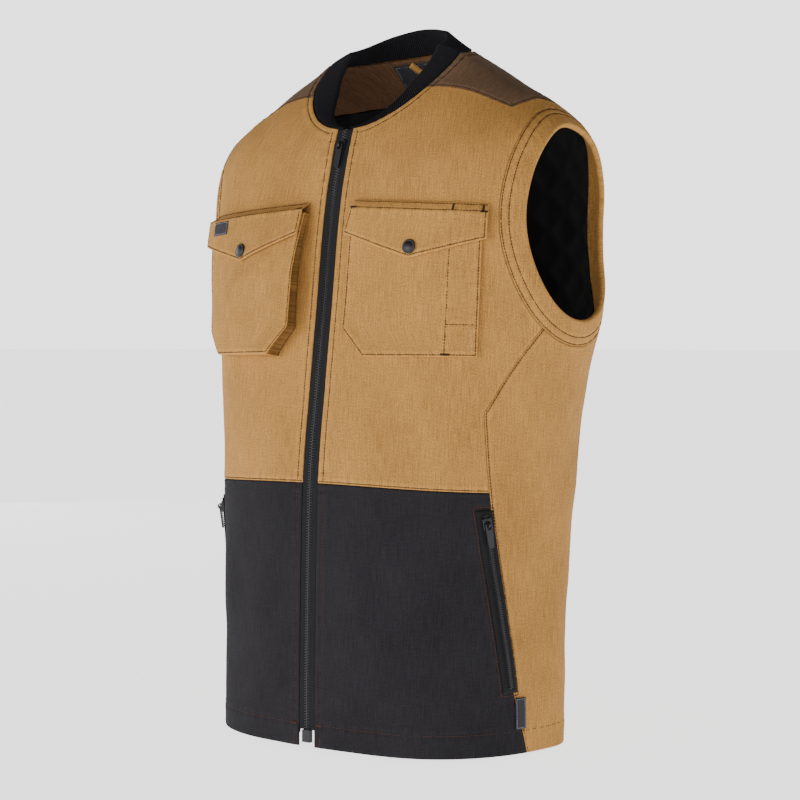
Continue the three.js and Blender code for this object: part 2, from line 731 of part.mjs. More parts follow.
// Slider that straddles the chain, with a bail for the pull tab. Its z starts at the chain's face.
function sliderGeometry(width, drop) {
  const half = slider_width / 2;
  const slot = width / 2 + slider_clearance;
  const top = slider_clearance + slider_plate;
  const section = new THREE.Shape([
    new THREE.Vector2(-half, -drop), new THREE.Vector2(-slot, -drop),
    new THREE.Vector2(-slot, slider_clearance), new THREE.Vector2(slot, slider_clearance),
    new THREE.Vector2(slot, -drop), new THREE.Vector2(half, -drop),
    new THREE.Vector2(half, top - slider_chamfer), new THREE.Vector2(half - slider_chamfer, top),
    new THREE.Vector2(slider_chamfer - half, top), new THREE.Vector2(-half, top - slider_chamfer),
  ]);
  const channel = new THREE.ExtrudeGeometry(section, { depth: slider_length, bevelEnabled: false });
  channel.rotateX(Math.PI / 2).translate(0, slider_length / 2, 0);
  const ring = new THREE.Shape().absarc(0, 0, bail_outer_radius, 0, 2 * Math.PI);
  ring.holes.push(new THREE.Path().absarc(0, 0, bail_hole_radius, 0, 2 * Math.PI));
  const bail = new THREE.ExtrudeGeometry(ring, { depth: bail_width, bevelEnabled: false, curveSegments: 8 });
  bail.rotateY(Math.PI / 2).translate(-bail_width / 2, 0, pivot_height);
  const room = new THREE.BoxGeometry(2 * slot, slider_length, drop + 2 * slider_clearance);
  room.translate(0, 0, slider_clearance - (drop + 2 * slider_clearance) / 2);
  return asGeometry(asManifold(channel).add(asManifold(bail).subtract(asManifold(room))));
}

// Pull tab with its bar on the axis and the tab hanging down
function pullerGeometry() {
  const half = puller_width / 2;
  const tip = -puller_length;
  const start = puller_bar / 2;
  const tab = new THREE.Shape([
    new THREE.Vector2(-half, start), new THREE.Vector2(-half, -puller_shoulder_length),
    new THREE.Vector2(-half * 0.8, tip + puller_rim), new THREE.Vector2(-half * 0.55, tip),
    new THREE.Vector2(half * 0.55, tip), new THREE.Vector2(half * 0.8, tip + puller_rim),
    new THREE.Vector2(half, -puller_shoulder_length), new THREE.Vector2(half, start),
  ]);
  const eye_half = half - puller_rim;
  const eye = new THREE.Path([
    new THREE.Vector2(-eye_half, -start), new THREE.Vector2(eye_half, -start),
    new THREE.Vector2(eye_half, -puller_eye_length), new THREE.Vector2(-eye_half, -puller_eye_length),
  ]);
  tab.holes.push(eye);
  const geometry = new THREE.ExtrudeGeometry(tab, { depth: puller_thickness, bevelEnabled: false });
  return geometry.translate(0, 0, -puller_thickness / 2);
}

function addSlider(name, width, drop, surface) {
  const place = frameAt(surface);
  add(`${name}_slider`, sliderGeometry(width, drop), METAL, HARD, place);
  const swing = new THREE.Matrix4().makeTranslation(0, 0, pivot_height);
  swing.multiply(new THREE.Matrix4().makeRotationX(puller_rest_tilt * deg));
  add(`${name}_puller`, pullerGeometry(), METAL, HARD, place.clone().multiply(swing));
}

function addFrontSlider() {
  const top = -spline(NECK, 'front_z');
  addSlider('front_zip', chain_width, chain_outer + tape_depth - zip_clearance, (across, up) => {
    const level = levelAtHeight(-top - slider_drop + up);
    return skin(thetaAtX(across, level), level, chain_outer);
  });
}

// Chest pockets: a flat patch on the left, a bellows on the right

function pocketDepth(hand, fall, across) {
  if (hand === 'left') return patch_pocket_depth;
  const share = Math.min(Math.max(fall / bellows_fall, 0), 1);
  const full = bellows_depth + (bellows_side_depth - bellows_depth) * across;
  return bellows_mouth_depth + (full - bellows_mouth_depth) * share;
}

function pocketGeometry(hand, side) {
  const outer_cut = hand === 'right' ? pocket_corner_cut : 0;
  const cut_start = pocket_height - pocket_corner_cut;
  const falls = [0, bellows_fall / 2, bellows_fall, cut_start, pocket_height];
  const cols = 7;
  const at = (fall, share, tuck, depth) => {
    const cut = Math.max((fall - cut_start) / pocket_corner_cut, 0);
    const near = pocket_inset + cut * pocket_corner_cut + tuck;
    const far = pocket_inset + pocket_width - cut * outer_cut - tuck;
    const slope = (flap_slope * share * (pocket_height - fall)) / pocket_height;
    return atDistance(side * (near + (far - near) * share), -pocket_drop - fall - slope, depth);
  };
  const rowAt = (fall, tuck) => {
    const low = Math.min(fall, pocket_height - tuck);
    const reach = (share) => lay_gap + pocketDepth(hand, fall, share) - tuck;
    const middle = Array.from({ length: cols + 1 }, (_, k) => at(low, k / cols, tuck, reach(k / cols)));
    return [at(low, 0, tuck, lay_gap), ...middle, at(low, 1, tuck, lay_gap)];
  };
  const flatRow = (fall, tuck) => Array.from({ length: cols + 3 }, (_, k) => {
    const share = Math.min(Math.max((k - 1) / cols, 0), 1);
    return at(fall, share, tuck, lay_gap);
  });
  const layer = (tuck) => [...falls.map((fall) => rowAt(fall, tuck)), flatRow(pocket_height - tuck, tuck)];
  return pocketShell(layer(0), layer(pocket_cloth));
}

function pocketShell(outer, inner) {
  const rows = outer.length;
  const cols = outer[0].length;
  const share = (grid) => {
    grid[rows - 1][0] = grid[rows - 1][1];
    grid[rows - 1][cols - 1] = grid[rows - 1][cols - 2];
  };
  share(outer);
  share(inner);
  return withoutSlivers(closedSheet(outer, inner));
}

// Joins points that coincide and drops the triangles that vanish with them
function withoutSlivers(geometry) {
  geometry.deleteAttribute('normal');
  const merged = mergeVertices(geometry, 1e-4);
  const index = merged.index.array;
  const kept = [];
  for (let k = 0; k < index.length; k += 3) {
    const [a, b, c] = [index[k], index[k + 1], index[k + 2]];
    if (a !== b && b !== c && c !== a) kept.push(a, b, c);
  }
  merged.setIndex(kept);
  merged.computeVertexNormals();
  return merged;
}

// A flap is hung at flap_drop and lifts over the pocket's mouth before it reaches it
const flap_lift = pocket_drop - flap_drop - flap_lift_margin;

function flapDepth(hand, fall, across) {
  const over = lay_gap + pocketDepth(hand, fall - (pocket_drop - flap_drop), across) + lay_gap;
  return lay_gap + (over - lay_gap) * Math.min(fall / flap_lift, 1);
}

function flapHeight(share) {
  const toPoint = share < FLAP_POINT_SHARE ? share / FLAP_POINT_SHARE : (1 - share) / (1 - FLAP_POINT_SHARE);
  return flap_side_height + (flap_point_height - flap_side_height) * toPoint;
}

function flapPoint(hand, side, share, fall, rise) {
  const flare = hand === 'left' ? flap_flare_left : flap_flare_right;
  const near = flap_inset + flap_top_tuck - (flare * fall) / flap_side_height;
  const distance = near + (flap_inset + flap_width - near) * share;
  const z = -flap_drop - flap_slope * share - fall;
  return atDistance(side * distance, z, flapDepth(hand, fall, share) + rise);
}

function flapGeometry(hand, side) {
  const shares = route(line([0, 0], [FLAP_POINT_SHARE, 0], 4), line([FLAP_POINT_SHARE, 0], [1, 0], 4));
  const layer = (rise) => [1, 0.5, 0, -1].map((down) => shares.map(([share]) => {
    const fall = down < 0 ? 0 : flap_lift + (flapHeight(share) - flap_lift) * down;
    return flapPoint(hand, side, share, fall, rise);
  }));
  return closedSheet(layer(flap_thickness), layer(0));
}

// Surface of a flap around a point of it
function onFlap(hand, side, share, fall, rise) {
  return (across, up) => flapPoint(hand, side, share + (side * across) / flap_width, fall - up, rise);
}

function snapGeometry() {
  const radius = snap_diameter / 2;
  const profile = [
    [0, 0], [radius - snap_rim, 0], [radius, snap_rim], [radius - snap_rim, snap_thickness * 0.85],
    [snap_groove_radius, snap_thickness * 0.8], [snap_crown_radius, snap_thickness], [0, snap_thickness],
  ].map(([r, h]) => new THREE.Vector2(r, h));
  return new THREE.LatheGeometry(profile, 14).rotateX(Math.PI / 2);
}

function addChestPockets() {
  for (const [hand, side] of [['left', 1], ['right', -1]]) {
    add(`chest_pocket_${hand}`, pocketGeometry(hand, side), TAN, CLOTH);
    add(`chest_flap_${hand}`, flapGeometry(hand, side), TAN, CLOTH);
    const seat = onFlap(hand, side, FLAP_POINT_SHARE, snap_drop - flap_drop, flap_thickness + seam_gap);
    add(`snap_${hand}`, withoutSlivers(snapGeometry()), METAL, HARD, frameAt(seat));
  }
  const corner = onFlap('right', -1, FLAP_LABEL_SHARE, flap_label_drop - flap_drop, flap_thickness + seam_gap);
  const label = patchOn(corner, flap_label_width, flap_label_height, label_thickness, 2, 2);
  add('flap_label', label, LABEL_GREY, CLOTH);
}

// A small cloth rectangle lying on a surface
function patchOn(surface, width, height, thickness, cols, rows) {
  const place = frameAt(surface);
  const out = new THREE.Vector3().setFromMatrixColumn(place, 2);
  const layer = (rise) => Array.from({ length: rows + 1 }, (_, i) => Array.from({ length: cols + 1 }, (__, j) =>
    surface((j / cols - 0.5) * width, (i / rows - 0.5) * height).addScaledVector(out, rise)));
  return closedSheet(layer(thickness), layer(0));
}

// Side pocket zips

function sideZipPoint(side, across, fall, depth) {
  const share = fall / side_zip_length;
  const middle = side_zip_top_distance + (side_zip_bottom_distance - side_zip_top_distance) * share;
  const top = levelValue(WAIST, 'side_z') - side_zip_waist_gap;
  return atDistance(side * (middle + across), top - fall, depth);
}

function sideZipStrip(side, width, cols, outer_depth, inner_depth, from, to) {
  const half = width / 2;
  const layer = (depth) => line([0, from], [0, to], 10).map(([, fall]) =>
    line([-half, 0], [half, 0], cols).map(([across]) => sideZipPoint(side, across, fall, depth)));
  return closedSheet(layer(outer_depth), layer(inner_depth));
}

function addSideZips() {
  const tape_outer = lay_gap + tape_thickness;
  const teeth_inner = tape_outer + zip_clearance;
  const teeth_outer = teeth_inner + side_chain_thickness;
  for (const [hand, side] of [['left', 1], ['right', -1]]) {
    const tape = sideZipStrip(side, side_tape_width, 2, tape_outer, lay_gap, 0, side_zip_length);
    add(`pocket_zip_tape_${hand}`, tape, BLACK, CLOTH);
    const [from, to] = [side_chain_inset, side_zip_length - side_chain_inset];
    const chain = sideZipStrip(side, side_chain_width, 1, teeth_outer, teeth_inner, from, to);
    add(`pocket_zip_chain_${hand}`, chain, METAL, HARD);
    const seat = (across, up) => sideZipPoint(side, side * across, side_slider_drop - up, teeth_outer);
    addSlider(`pocket_zip_${hand}`, side_chain_width, teeth_outer - tape_outer - zip_clearance, seat);
  }
}

// Labels, hem tag and hanger loop

// Inside the back of the neck: across it from the spine, and down along the cloth from the neck seam
function insideNeck(across, up, depth) {
  const below = smoothPoint(Math.PI, NECK - 1).distanceTo(smoothPoint(Math.PI, NECK));
  const level = NECK + up / below;
  return skin(Math.PI - thetaAtX(across, level), level, depth);
}

function addNeckPieces() {
  const label_depth = lining_inner - label_gap;
  const rows = [1, 0.67, 0.33, 0].map((share) => -neck_label_drop - neck_label_height * share);
  const layer = (depth) => rows.map((up) => line([-neck_label_width / 2, 0], [neck_label_width / 2, 0], 8)
    .map(([across]) => insideNeck(across, up, depth)));
  const label = closedSheet(layer(label_depth), layer(label_depth - label_thickness));
  add('neck_label', label, LABEL_GREY, CLOTH);
  const over_label = label_depth - label_thickness - label_gap;
  add('hanger_loop', loopGeometry(over_label), TAN, CLOTH);
  add('size_tab', sizeTabGeometry(over_label), TAB_RED, CLOTH);
}

// Strap that hangs in a shallow bow from two ends beside the neck seam
function loopGeometry(depth) {
  const steps = 14;
  const middle = (k) => {
    const share = k / steps;
    return [loop_span * (share - 0.5), -neck_piece_drop - loop_sag * Math.sin(Math.PI * share)];
  };
  const layer = (lift) => Array.from({ length: steps + 1 }, (_, k) => {
    const [x, y] = middle(k);
    const [x0, y0] = middle(Math.max(k - 1, 0));
    const [x1, y1] = middle(Math.min(k + 1, steps));
    const length = Math.hypot(x1 - x0, y1 - y0);
    const [nx, ny] = [-(y1 - y0) / length, (x1 - x0) / length];
    return [-loop_width / 2, loop_width / 2].map((w) => insideNeck(x + nx * w, y + ny * w, lift));
  });
  return closedSheet(layer(depth), layer(depth - loop_thickness));
}

function sizeTabGeometry(depth) {
  const layer = (lift) => [-neck_piece_drop - size_tab_height, -neck_piece_drop].map((up) =>
    [-0.5, 0.5].map((share) => insideNeck(size_tab_offset + share * size_tab_width, up, lift)));
  return closedSheet(layer(depth), layer(depth - label_thickness));
}

function addHemTag() {
  const middle = hem_tag_rise + hem_tag_height / 2 - body_length;
  const surface = (across, up) => atDistance(hem_tag_distance + across, middle + up, lay_gap);
  add('hem_tag', patchOn(surface, hem_tag_width, hem_tag_height, label_thickness, 1, 1), LABEL_GREY, CLOTH);
}

addPanels();
add('collar_rib', collarGeometry(), RIB_BLACK, CLOTH);
addFrontZip();
addFrontSlider();
addChestPockets();
addSideZips();
addNeckPieces();
addHemTag();

export default vest;
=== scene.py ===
import math

import bpy
import numpy as np
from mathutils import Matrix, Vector, kdtree


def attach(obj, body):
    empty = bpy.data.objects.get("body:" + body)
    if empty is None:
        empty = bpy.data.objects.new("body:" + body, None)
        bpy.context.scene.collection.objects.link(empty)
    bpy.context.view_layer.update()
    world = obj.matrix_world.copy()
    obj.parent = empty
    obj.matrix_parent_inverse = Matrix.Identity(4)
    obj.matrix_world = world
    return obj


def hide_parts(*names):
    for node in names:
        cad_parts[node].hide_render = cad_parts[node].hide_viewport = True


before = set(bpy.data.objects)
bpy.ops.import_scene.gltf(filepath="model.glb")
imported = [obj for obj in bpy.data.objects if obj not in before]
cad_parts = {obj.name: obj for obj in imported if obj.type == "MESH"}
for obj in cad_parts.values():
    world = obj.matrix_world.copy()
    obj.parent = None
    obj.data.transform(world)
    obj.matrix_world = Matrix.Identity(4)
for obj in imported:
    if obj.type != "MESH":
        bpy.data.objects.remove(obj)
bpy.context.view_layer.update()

# The vest's surface, with the same named sizes as the solids, in millimetres

MM = 0.001
DEG = math.pi / 180
BODY_LENGTH = 700
CHEST_HALF_WIDTH = 236
FRONT_DEPTH = 142
BACK_DEPTH = 124
CANVAS = 1.2
LINING_OUTER = -3.8
LINING_INNER = -6.2
FOLD_DEPTH = 5
ARMHOLE_REACH = 71
ARMHOLE_HALF_HEIGHT = 97
ARMHOLE_CENTRE_Y = 17
ARMHOLE_DROP = 177
BAND_WIDTH = 27
ZIP_HALF_OPENING = 10
CHAIN_WIDTH = 6.2
CHAIN_THICKNESS = 2.3
TAPE_DEPTH = 0.5
TAPE_THICKNESS = 1.0
CHAIN_OUTER = CHAIN_THICKNESS / 2 - TAPE_DEPTH - TAPE_THICKNESS / 2
LAY_GAP = 0.9
SIDE_OF = {"left": 1, "right": -1}

# Sections from the hem up: front z, side z, back z and half width; front, side and back y; front and back fullness;
# and how sharply the section rises to the side. Heights, widths and depths are shares of the sizes above.
LEVELS = [
    (-1.0, -1.003, -1.006, 0.805, -1.0, 0.161, 0.79, 0.3, 0.3, 2),
    (-0.857, -0.857, -0.857, 0.809, -0.993, 0.161, 0.806, 0.3, 0.3, 2),
    (-0.623, -0.634, -0.634, 0.831, -0.958, 0.161, 1.0, 0.3, 0.3, 2),
    (-0.486, -0.49, -0.49, 0.89, -0.88, 0.177, 0.984, 0.3, 0.32, 2),
    (-0.379, -0.386, -0.386, 0.958, -0.81, 0.21, 0.968, 0.3, 0.34, 2),
    (-0.286, -0.286, -0.286, 1.0, -0.754, 0.21, 0.984, 0.3, 0.36, 2),
    (-0.214, -0.186, -0.183, 0.992, -0.697, 0.177, 0.984, 0.3, 0.34, 2),
    (-0.169, -0.114, -0.094, 0.89, -0.645, 0.113, 0.935, 0.24, 0.3, 2),
    (-0.14, -0.051, -0.029, 0.619, -0.605, 0.048, 0.806, 0.12, 0.18, 1.7),
    (-0.114, 0, 0.017, 0.364, -0.563, 0, 0.6, 0.05, 0.05, 1.04),
]
LEVEL_SCALES = (BODY_LENGTH, BODY_LENGTH, BODY_LENGTH, CHEST_HALF_WIDTH, FRONT_DEPTH, BACK_DEPTH, BACK_DEPTH,
                1, 1, 1)
WAIST = 2
NECK = len(LEVELS) - 1

# Soft folds: middle in degrees from the centre front and level, reach in degrees and levels, degrees of lean per
# level, and height as a share of FOLD_DEPTH
FOLDS = [
    (-62, 3.5, 9, 0.9, 2, -0.6),
    (66, 3.3, 8, 0.8, -2, -0.5),
    (-35, 1.3, 12, 1.1, 1, -0.7),
    (38, 1.0, 14, 1.2, 0, 0.5),
    (97, 2.2, 13, 1.1, 1, -0.8),
    (-97, 2.4, 13, 1.1, -1, -0.8),
    (180, 3.4, 16, 1.6, 0, -1.0),
    (146, 2.0, 8, 1.3, 1.2, 0.7),
    (-148, 2.2, 8, 1.3, -1.2, 0.7),
]

# Finer unevenness of worn cloth, seen only here: wave direction (per millimetre of x, y, z), phase, and height in mm
WANDER = [
    ((0.042, 0.015, 0.031), 0.4, 0.42),
    ((-0.035, 0.028, 0.052), 2.1, 0.36),
    ((0.061, -0.041, -0.024), 4.4, 0.26),
    ((0.018, 0.052, -0.071), 1.3, 0.24),
    ((-0.083, 0.02, 0.047), 5.2, 0.16),
    ((0.095, 0.06, 0.033), 3.3, 0.12),
    ((0.13, 0.02, 0.055), 0.9, 0.13),
    ((-0.055, 0.09, 0.125), 3.9, 0.12),
    ((0.21, -0.08, 0.1), 1.9, 0.06),
]

CALM_AT_ZIP = 22

rows_of_levels = np.array(LEVELS, float) * np.array(LEVEL_SCALES, float)
PADDED = np.vstack([2 * rows_of_levels[0] - rows_of_levels[1], rows_of_levels,
                    2 * rows_of_levels[-1] - rows_of_levels[-2]])


def section(level):
    """The row of section values at a level, on a smooth curve through the levels."""
    i = np.clip(np.floor(level).astype(int), 0, NECK - 1)
    t = (level - i)[..., None]
    a, b, c, d = (PADDED[i + k] for k in range(4))
    return 0.5 * (2 * b + (c - a) * t + (2 * a - 5 * b + 4 * c - d) * t ** 2 + (3 * b - a - 3 * c + d) * t ** 3)


def smooth(theta, level):
    """A place on the body without folds, at an angle from the centre front and a level."""
    theta, level = np.broadcast_arrays(np.asarray(theta, float), np.asarray(level, float))
    values = np.moveaxis(section(level), -1, 0)
    front_z, side_z, back_z, half, front_y, side_y, back_y, front_full, back_full, ridge = values
    c, s = np.cos(theta), np.sin(theta)
    reach = np.abs(c)
    swell = 1 + np.where(c > 0, front_full, back_full) * s * s
    y = side_y + (np.where(c > 0, front_y, back_y) - side_y) * reach * swell
    z = side_z + (np.where(c > 0, front_z, back_z) - side_z) * reach ** ridge
    return np.stack([half * s, y, z], -1)


def smooth_at(path):
    return smooth(path[..., 0], path[..., 1])


def unit(v):
    return v / np.maximum(np.linalg.norm(v, axis=-1, keepdims=True), 1e-12)


def normal(theta, level):
    e = 0.002
    level = np.asarray(level, float)
    along = smooth(theta + e, level) - smooth(theta - e, level)
    up = smooth(theta, np.minimum(level + e, NECK)) - smooth(theta, np.maximum(level - e, 0))
    return unit(np.cross(along, up))


def fold_height(theta, level):
    total = 0
    for at, middle, reach, rise, lean, height in FOLDS:
        away = theta / DEG - at
        around = away - 360 * np.round(away / 360)
        climb = level - middle
        across = (around - climb * lean) / reach
        total = total + height * FOLD_DEPTH * np.exp(-across ** 2 - (climb / rise) ** 2)
    return total


def wander(points):
    """Finer unevenness, which fades out at the front zip."""
    total = 0
    for wave, phase, height in WANDER:
        total = total + height * np.sin(points @ np.array(wave) + phase)
    clear_of_zip = 1 - np.exp(-(points[..., 0] / CALM_AT_ZIP) ** 2) * (points[..., 1] < 0)
    return total * clear_of_zip


def skin(theta, level, depth=0.0):
    """A place on the folded cloth, or at a depth out from it."""
    theta, level = np.broadcast_arrays(np.asarray(theta, float), np.asarray(level, float))
    base = smooth(theta, level)
    rise = fold_height(theta, level) + wander(base) + depth
    return base + normal(theta, level) * rise[..., None]


def theta_at_x(x, level):
    return np.arcsin(x / section(np.asarray(level, float))[..., 3])


# Places given by distance from the centre front along a level cut, and height

SLICE_TOP = -85
SLICE_STEP = 3
HALVINGS = 24
slice_z = np.arange(-706, SLICE_TOP, SLICE_STEP, float)
slice_theta = np.linspace(0, 135, 181) * DEG


def sliced():
    """Level, and distance round from the centre front, for each height and angle of the slices."""
    theta, z = np.meshgrid(slice_theta, slice_z)
    low, high = np.zeros_like(theta), np.full_like(theta, NECK)
    for _ in range(HALVINGS):
        middle = (low + high) / 2
        below = smooth(theta, middle)[..., 2] < z
        low, high = np.where(below, middle, low), np.where(below, high, middle)
    points = smooth(theta, low)
    steps = np.linalg.norm(np.diff(points, axis=1), axis=-1)
    return low, np.concatenate([np.zeros((len(z), 1)), np.cumsum(steps, 1)], 1)


slice_level, slice_distance = sliced()


def on_skin(distance, z):
    """The (theta, level) at a distance round from the centre front and a height."""
    distance, z = np.broadcast_arrays(np.asarray(distance, float), np.asarray(z, float))
    shape = z.shape
    side = np.where(distance < 0, -1, 1)
    d, z = np.abs(distance).ravel(), z.ravel()
    row = np.clip((z - slice_z[0]) / SLICE_STEP, 0, len(slice_z) - 1.001)
    first = row.astype(int)
    share = row - first
    found = np.zeros((2, 2, len(z)))
    for k in np.unique(first):
        here = first == k
        for which in (0, 1):
            found[which, 0, here] = np.interp(d[here], slice_distance[k + which], slice_theta)
            found[which, 1, here] = np.interp(d[here], slice_distance[k + which], slice_level[k + which])
    mixed = found[0] * (1 - share) + found[1] * share
    return mixed[0].reshape(shape) * side, mixed[1].reshape(shape)


def at_distance(distance, z, depth=0.0):
    return skin(*on_skin(distance, z), depth)


# Armhole edge, and lines moved out from it over the surface, on the left side

ARMHOLE_STEPS = 36
BAND_FINE = 6


NUDGE = 0.001


def slopes(theta, level):
    """A place, and how it moves with theta and with level."""
    here = smooth(theta, level)
    return here, (smooth(theta + NUDGE, level) - here) / NUDGE, (here - smooth(theta, level - NUDGE)) / NUDGE


def stepped_aside(theta, level, along_of, distance):
    """A line of (theta, level) moved over the surface to the left of its way, which along_of gives."""
    points, over, up = slopes(theta, level)
    out = unit(np.cross(normal(theta, level), unit(along_of(points)))) * distance
    aa, bb, ab = (over * over).sum(-1), (up * up).sum(-1), (over * up).sum(-1)
    ad, bd = (over * out).sum(-1), (up * out).sum(-1)
    area = aa * bb - ab * ab
    return theta + (ad * bb - bd * ab) / area, level + (bd * aa - ad * ab) / area


def armhole_edge(count):
    """The armhole's ellipse in side view, as (theta, level) found by a search and then Newton steps."""
    theta_grid, level_grid = np.meshgrid(np.linspace(35, 150, 150) * DEG, np.linspace(3.2, NECK - 0.05, 150))
    known = smooth(theta_grid, level_grid)
    turn = np.arange(count) / count * 2 * math.pi
    y = ARMHOLE_CENTRE_Y - ARMHOLE_REACH * np.cos(turn)
    z = -ARMHOLE_DROP + ARMHOLE_HALF_HEIGHT * np.sin(turn)
    theta, level = np.zeros(count), np.zeros(count)
    for k in range(count):
        away = (known[..., 1] - y[k]) ** 2 + (known[..., 2] - z[k]) ** 2
        near = np.unravel_index(np.argmin(away), away.shape)
        theta[k], level[k] = theta_grid[near], level_grid[near]
    for _ in range(30):
        here, over, up = slopes(theta, level)
        miss_y, miss_z = y - here[:, 1], z - here[:, 2]
        area = over[:, 1] * up[:, 2] - over[:, 2] * up[:, 1]
        theta = theta + np.clip((miss_y * up[:, 2] - miss_z * up[:, 1]) / area, -0.2, 0.2)
        level = level + np.clip((over[:, 1] * miss_z - over[:, 2] * miss_y) / area, -0.2, 0.2)
        level = np.minimum(level, NECK - 0.01)
    return np.stack([theta, level], -1)


def moved_out(edge, distance, steps=4):
    """A closed line moved out over the surface."""
    theta, level = edge.T
    for _ in range(steps):
        theta, level = stepped_aside(theta, level, lambda points: np.roll(points, -1, 0) - np.roll(points, 1, 0),
                                     distance / steps)
    return np.stack([theta, level], -1)


ARMHOLE = armhole_edge(ARMHOLE_STEPS * BAND_FINE)
BAND_SEAM = moved_out(ARMHOLE, BAND_WIDTH)
ARMHOLE_TOP = 9
BACK_SEAM_START = 24
ARMHOLE_BOTTOM = 27
SIDE_SEAM_START = 30


def band_seam(start, stop, every=1):
    step = every if stop > start else -every
    index = np.arange(start * BAND_FINE, stop * BAND_FINE + (1 if step > 0 else -1), step)
    return BAND_SEAM[index % len(BAND_SEAM)]


def band_point(k):
    return BAND_SEAM[k * BAND_FINE]


# Edges that panels share, as degrees from the centre front and levels

SIDE_KINK = (56.6 * DEG, 2.74)
SIDE_WAIST = (62.1 * DEG, WAIST)
SIDE_HEM = (78 * DEG, 0)
BACK_HEM = (118 * DEG, 0)
YOKE_FRONT_NECK = (60 * DEG, NECK)
YOKE_FRONT_TIP = (70 * DEG, 7.5)
YOKE_BACK_TIP = (110 * DEG, 7.5)
YOKE_BACK_NECK = (130 * DEG, NECK)
YOKE_RIDGE = (band_point(ARMHOLE_TOP)[0], 7.6)
FACING_LEVEL = 7.72
FACING_CORNER = (92 * DEG, FACING_LEVEL)
LINING_LOW = 0.12
LINING_SET_BACK = 3

# How fine the cloth is, in millimetres: at its edges, and between them, with each panel's rough width
EDGE_STEP = 0.9
EDGE_MARGIN = 10
CELL = 3.7
FINE_CELL = 2.8
BACK_ROW_CELL, BACK_COLUMN_CELL = 4.4, 4.6
LINING_CELL = 5.6
PANEL_WIDTHS = {"front_upper": 225, "front_lower": 245, "side_panel": 150, "back": 430, "yoke": 165,
                "lining_front": 250}


def spaced(length, coarse=CELL, fine_start=True, fine_end=True):
    """Shares from 0 to 1 along a length in mm, close together near the ends."""
    places = [0.0]
    while places[-1] < length:
        near_start = fine_start and places[-1] < EDGE_MARGIN
        near_end = fine_end and length - places[-1] < EDGE_MARGIN + coarse
        places.append(places[-1] + (EDGE_STEP if near_start or near_end else coarse))
    return np.array(places) / places[-1]


def line(start, stop, steps=None, shares=None):
    """A straight line of (theta, level), in equal steps or at given shares."""
    if shares is None:
        shares = np.linspace(0, 1, steps + 1)
    start, stop = np.array(start, float), np.array(stop, float)
    return start + (stop - start) * shares[:, None]


def route(*parts):
    """One line from parts that start where the last one ends."""
    return np.vstack([parts[0]] + [part[1:] for part in parts[1:]])


def distance_along(points):
    return np.concatenate([[0], np.cumsum(np.linalg.norm(np.diff(points, axis=0), axis=1))])


def path_length(path):
    return float(distance_along(smooth_at(path))[-1])


def interpolated(at, along, values):
    return np.stack([np.interp(at, along, column) for column in values.T], -1)


def resampled(path, shares):
    """The same line of (theta, level), with points at shares of its length."""
    along = distance_along(smooth_at(path))
    return interpolated(shares * along[-1], along, path)


def fill(bottom, top, left, right):
    """A grid of (theta, level) between four edges, with rows that run from left to right."""
    def share(edge):
        return (edge[:, 0] - edge[0, 0]) / (edge[-1, 0] - edge[0, 0])

    def bend(edge):
        return edge - edge[0] - (edge[-1] - edge[0]) * share(edge)[:, None]

    w = np.linspace(0, 1, len(left))[:, None]
    u = (1 - w) * share(bottom) + w * share(top)
    grid = left[:, None] + (right - left)[:, None] * u[..., None]
    return grid + (w ** 2)[..., None] * bend(top) + ((1 - w) ** 2)[..., None] * bend(bottom)


side_seam_lower = line(SIDE_HEM, SIDE_WAIST, 80)
side_seam_upper = route(line(SIDE_WAIST, SIDE_KINK, 30), line(SIDE_KINK, band_point(SIDE_SEAM_START), 50))
back_seam = line(BACK_HEM, band_point(BACK_SEAM_START), 160)
front_yoke_seam = line(YOKE_FRONT_NECK, YOKE_FRONT_TIP, 40)
front_yoke_end = line(YOKE_FRONT_TIP, YOKE_RIDGE, 16)
back_yoke_end = line(YOKE_RIDGE, YOKE_BACK_TIP, 16)
back_yoke_seam = line(YOKE_BACK_TIP, YOKE_BACK_NECK, 40)
neck_front = float(theta_at_x(ZIP_HALF_OPENING, NECK))
front_top = route(line((neck_front, NECK), YOKE_FRONT_NECK, 24), front_yoke_seam, front_yoke_end)


def upright(x, low, high, shares):
    """A line at a distance from the centre front, between two levels."""
    level = low + (high - low) * shares
    return np.stack([theta_at_x(x, level), level], -1)


def mirrored_back(path):
    return np.stack([2 * math.pi - path[:, 0], path[:, 1]], -1)


def front_upper_grid():
    right = route(side_seam_upper, band_seam(SIDE_SEAM_START, ARMHOLE_STEPS + ARMHOLE_TOP),
                  line(band_point(ARMHOLE_TOP), YOKE_RIDGE, 8))
    rows = spaced(path_length(right))
    right = resampled(right, rows)
    columns = spaced(PANEL_WIDTHS["front_upper"])
    left = upright(ZIP_HALF_OPENING, WAIST, NECK, rows)
    bottom = line(left[0], right[0], shares=columns)
    return fill(bottom, resampled(front_top, columns), left, right)


def front_lower_grid():
    rows = spaced(path_length(side_seam_lower))
    right = resampled(side_seam_lower, rows)
    left = upright(ZIP_HALF_OPENING, 0, WAIST, rows)
    columns = spaced(PANEL_WIDTHS["front_lower"])
    return fill(line(left[0], right[0], shares=columns), line(left[-1], right[-1], shares=columns), left, right)


def side_panel_grid():
    left = route(side_seam_lower, side_seam_upper)
    rows = spaced(path_length(left))
    top = band_seam(SIDE_SEAM_START, BACK_SEAM_START)
    columns = spaced(PANEL_WIDTHS["side_panel"])
    return fill(line(SIDE_HEM, BACK_HEM, shares=columns), resampled(top, columns), resampled(left, rows),
                resampled(back_seam, rows))


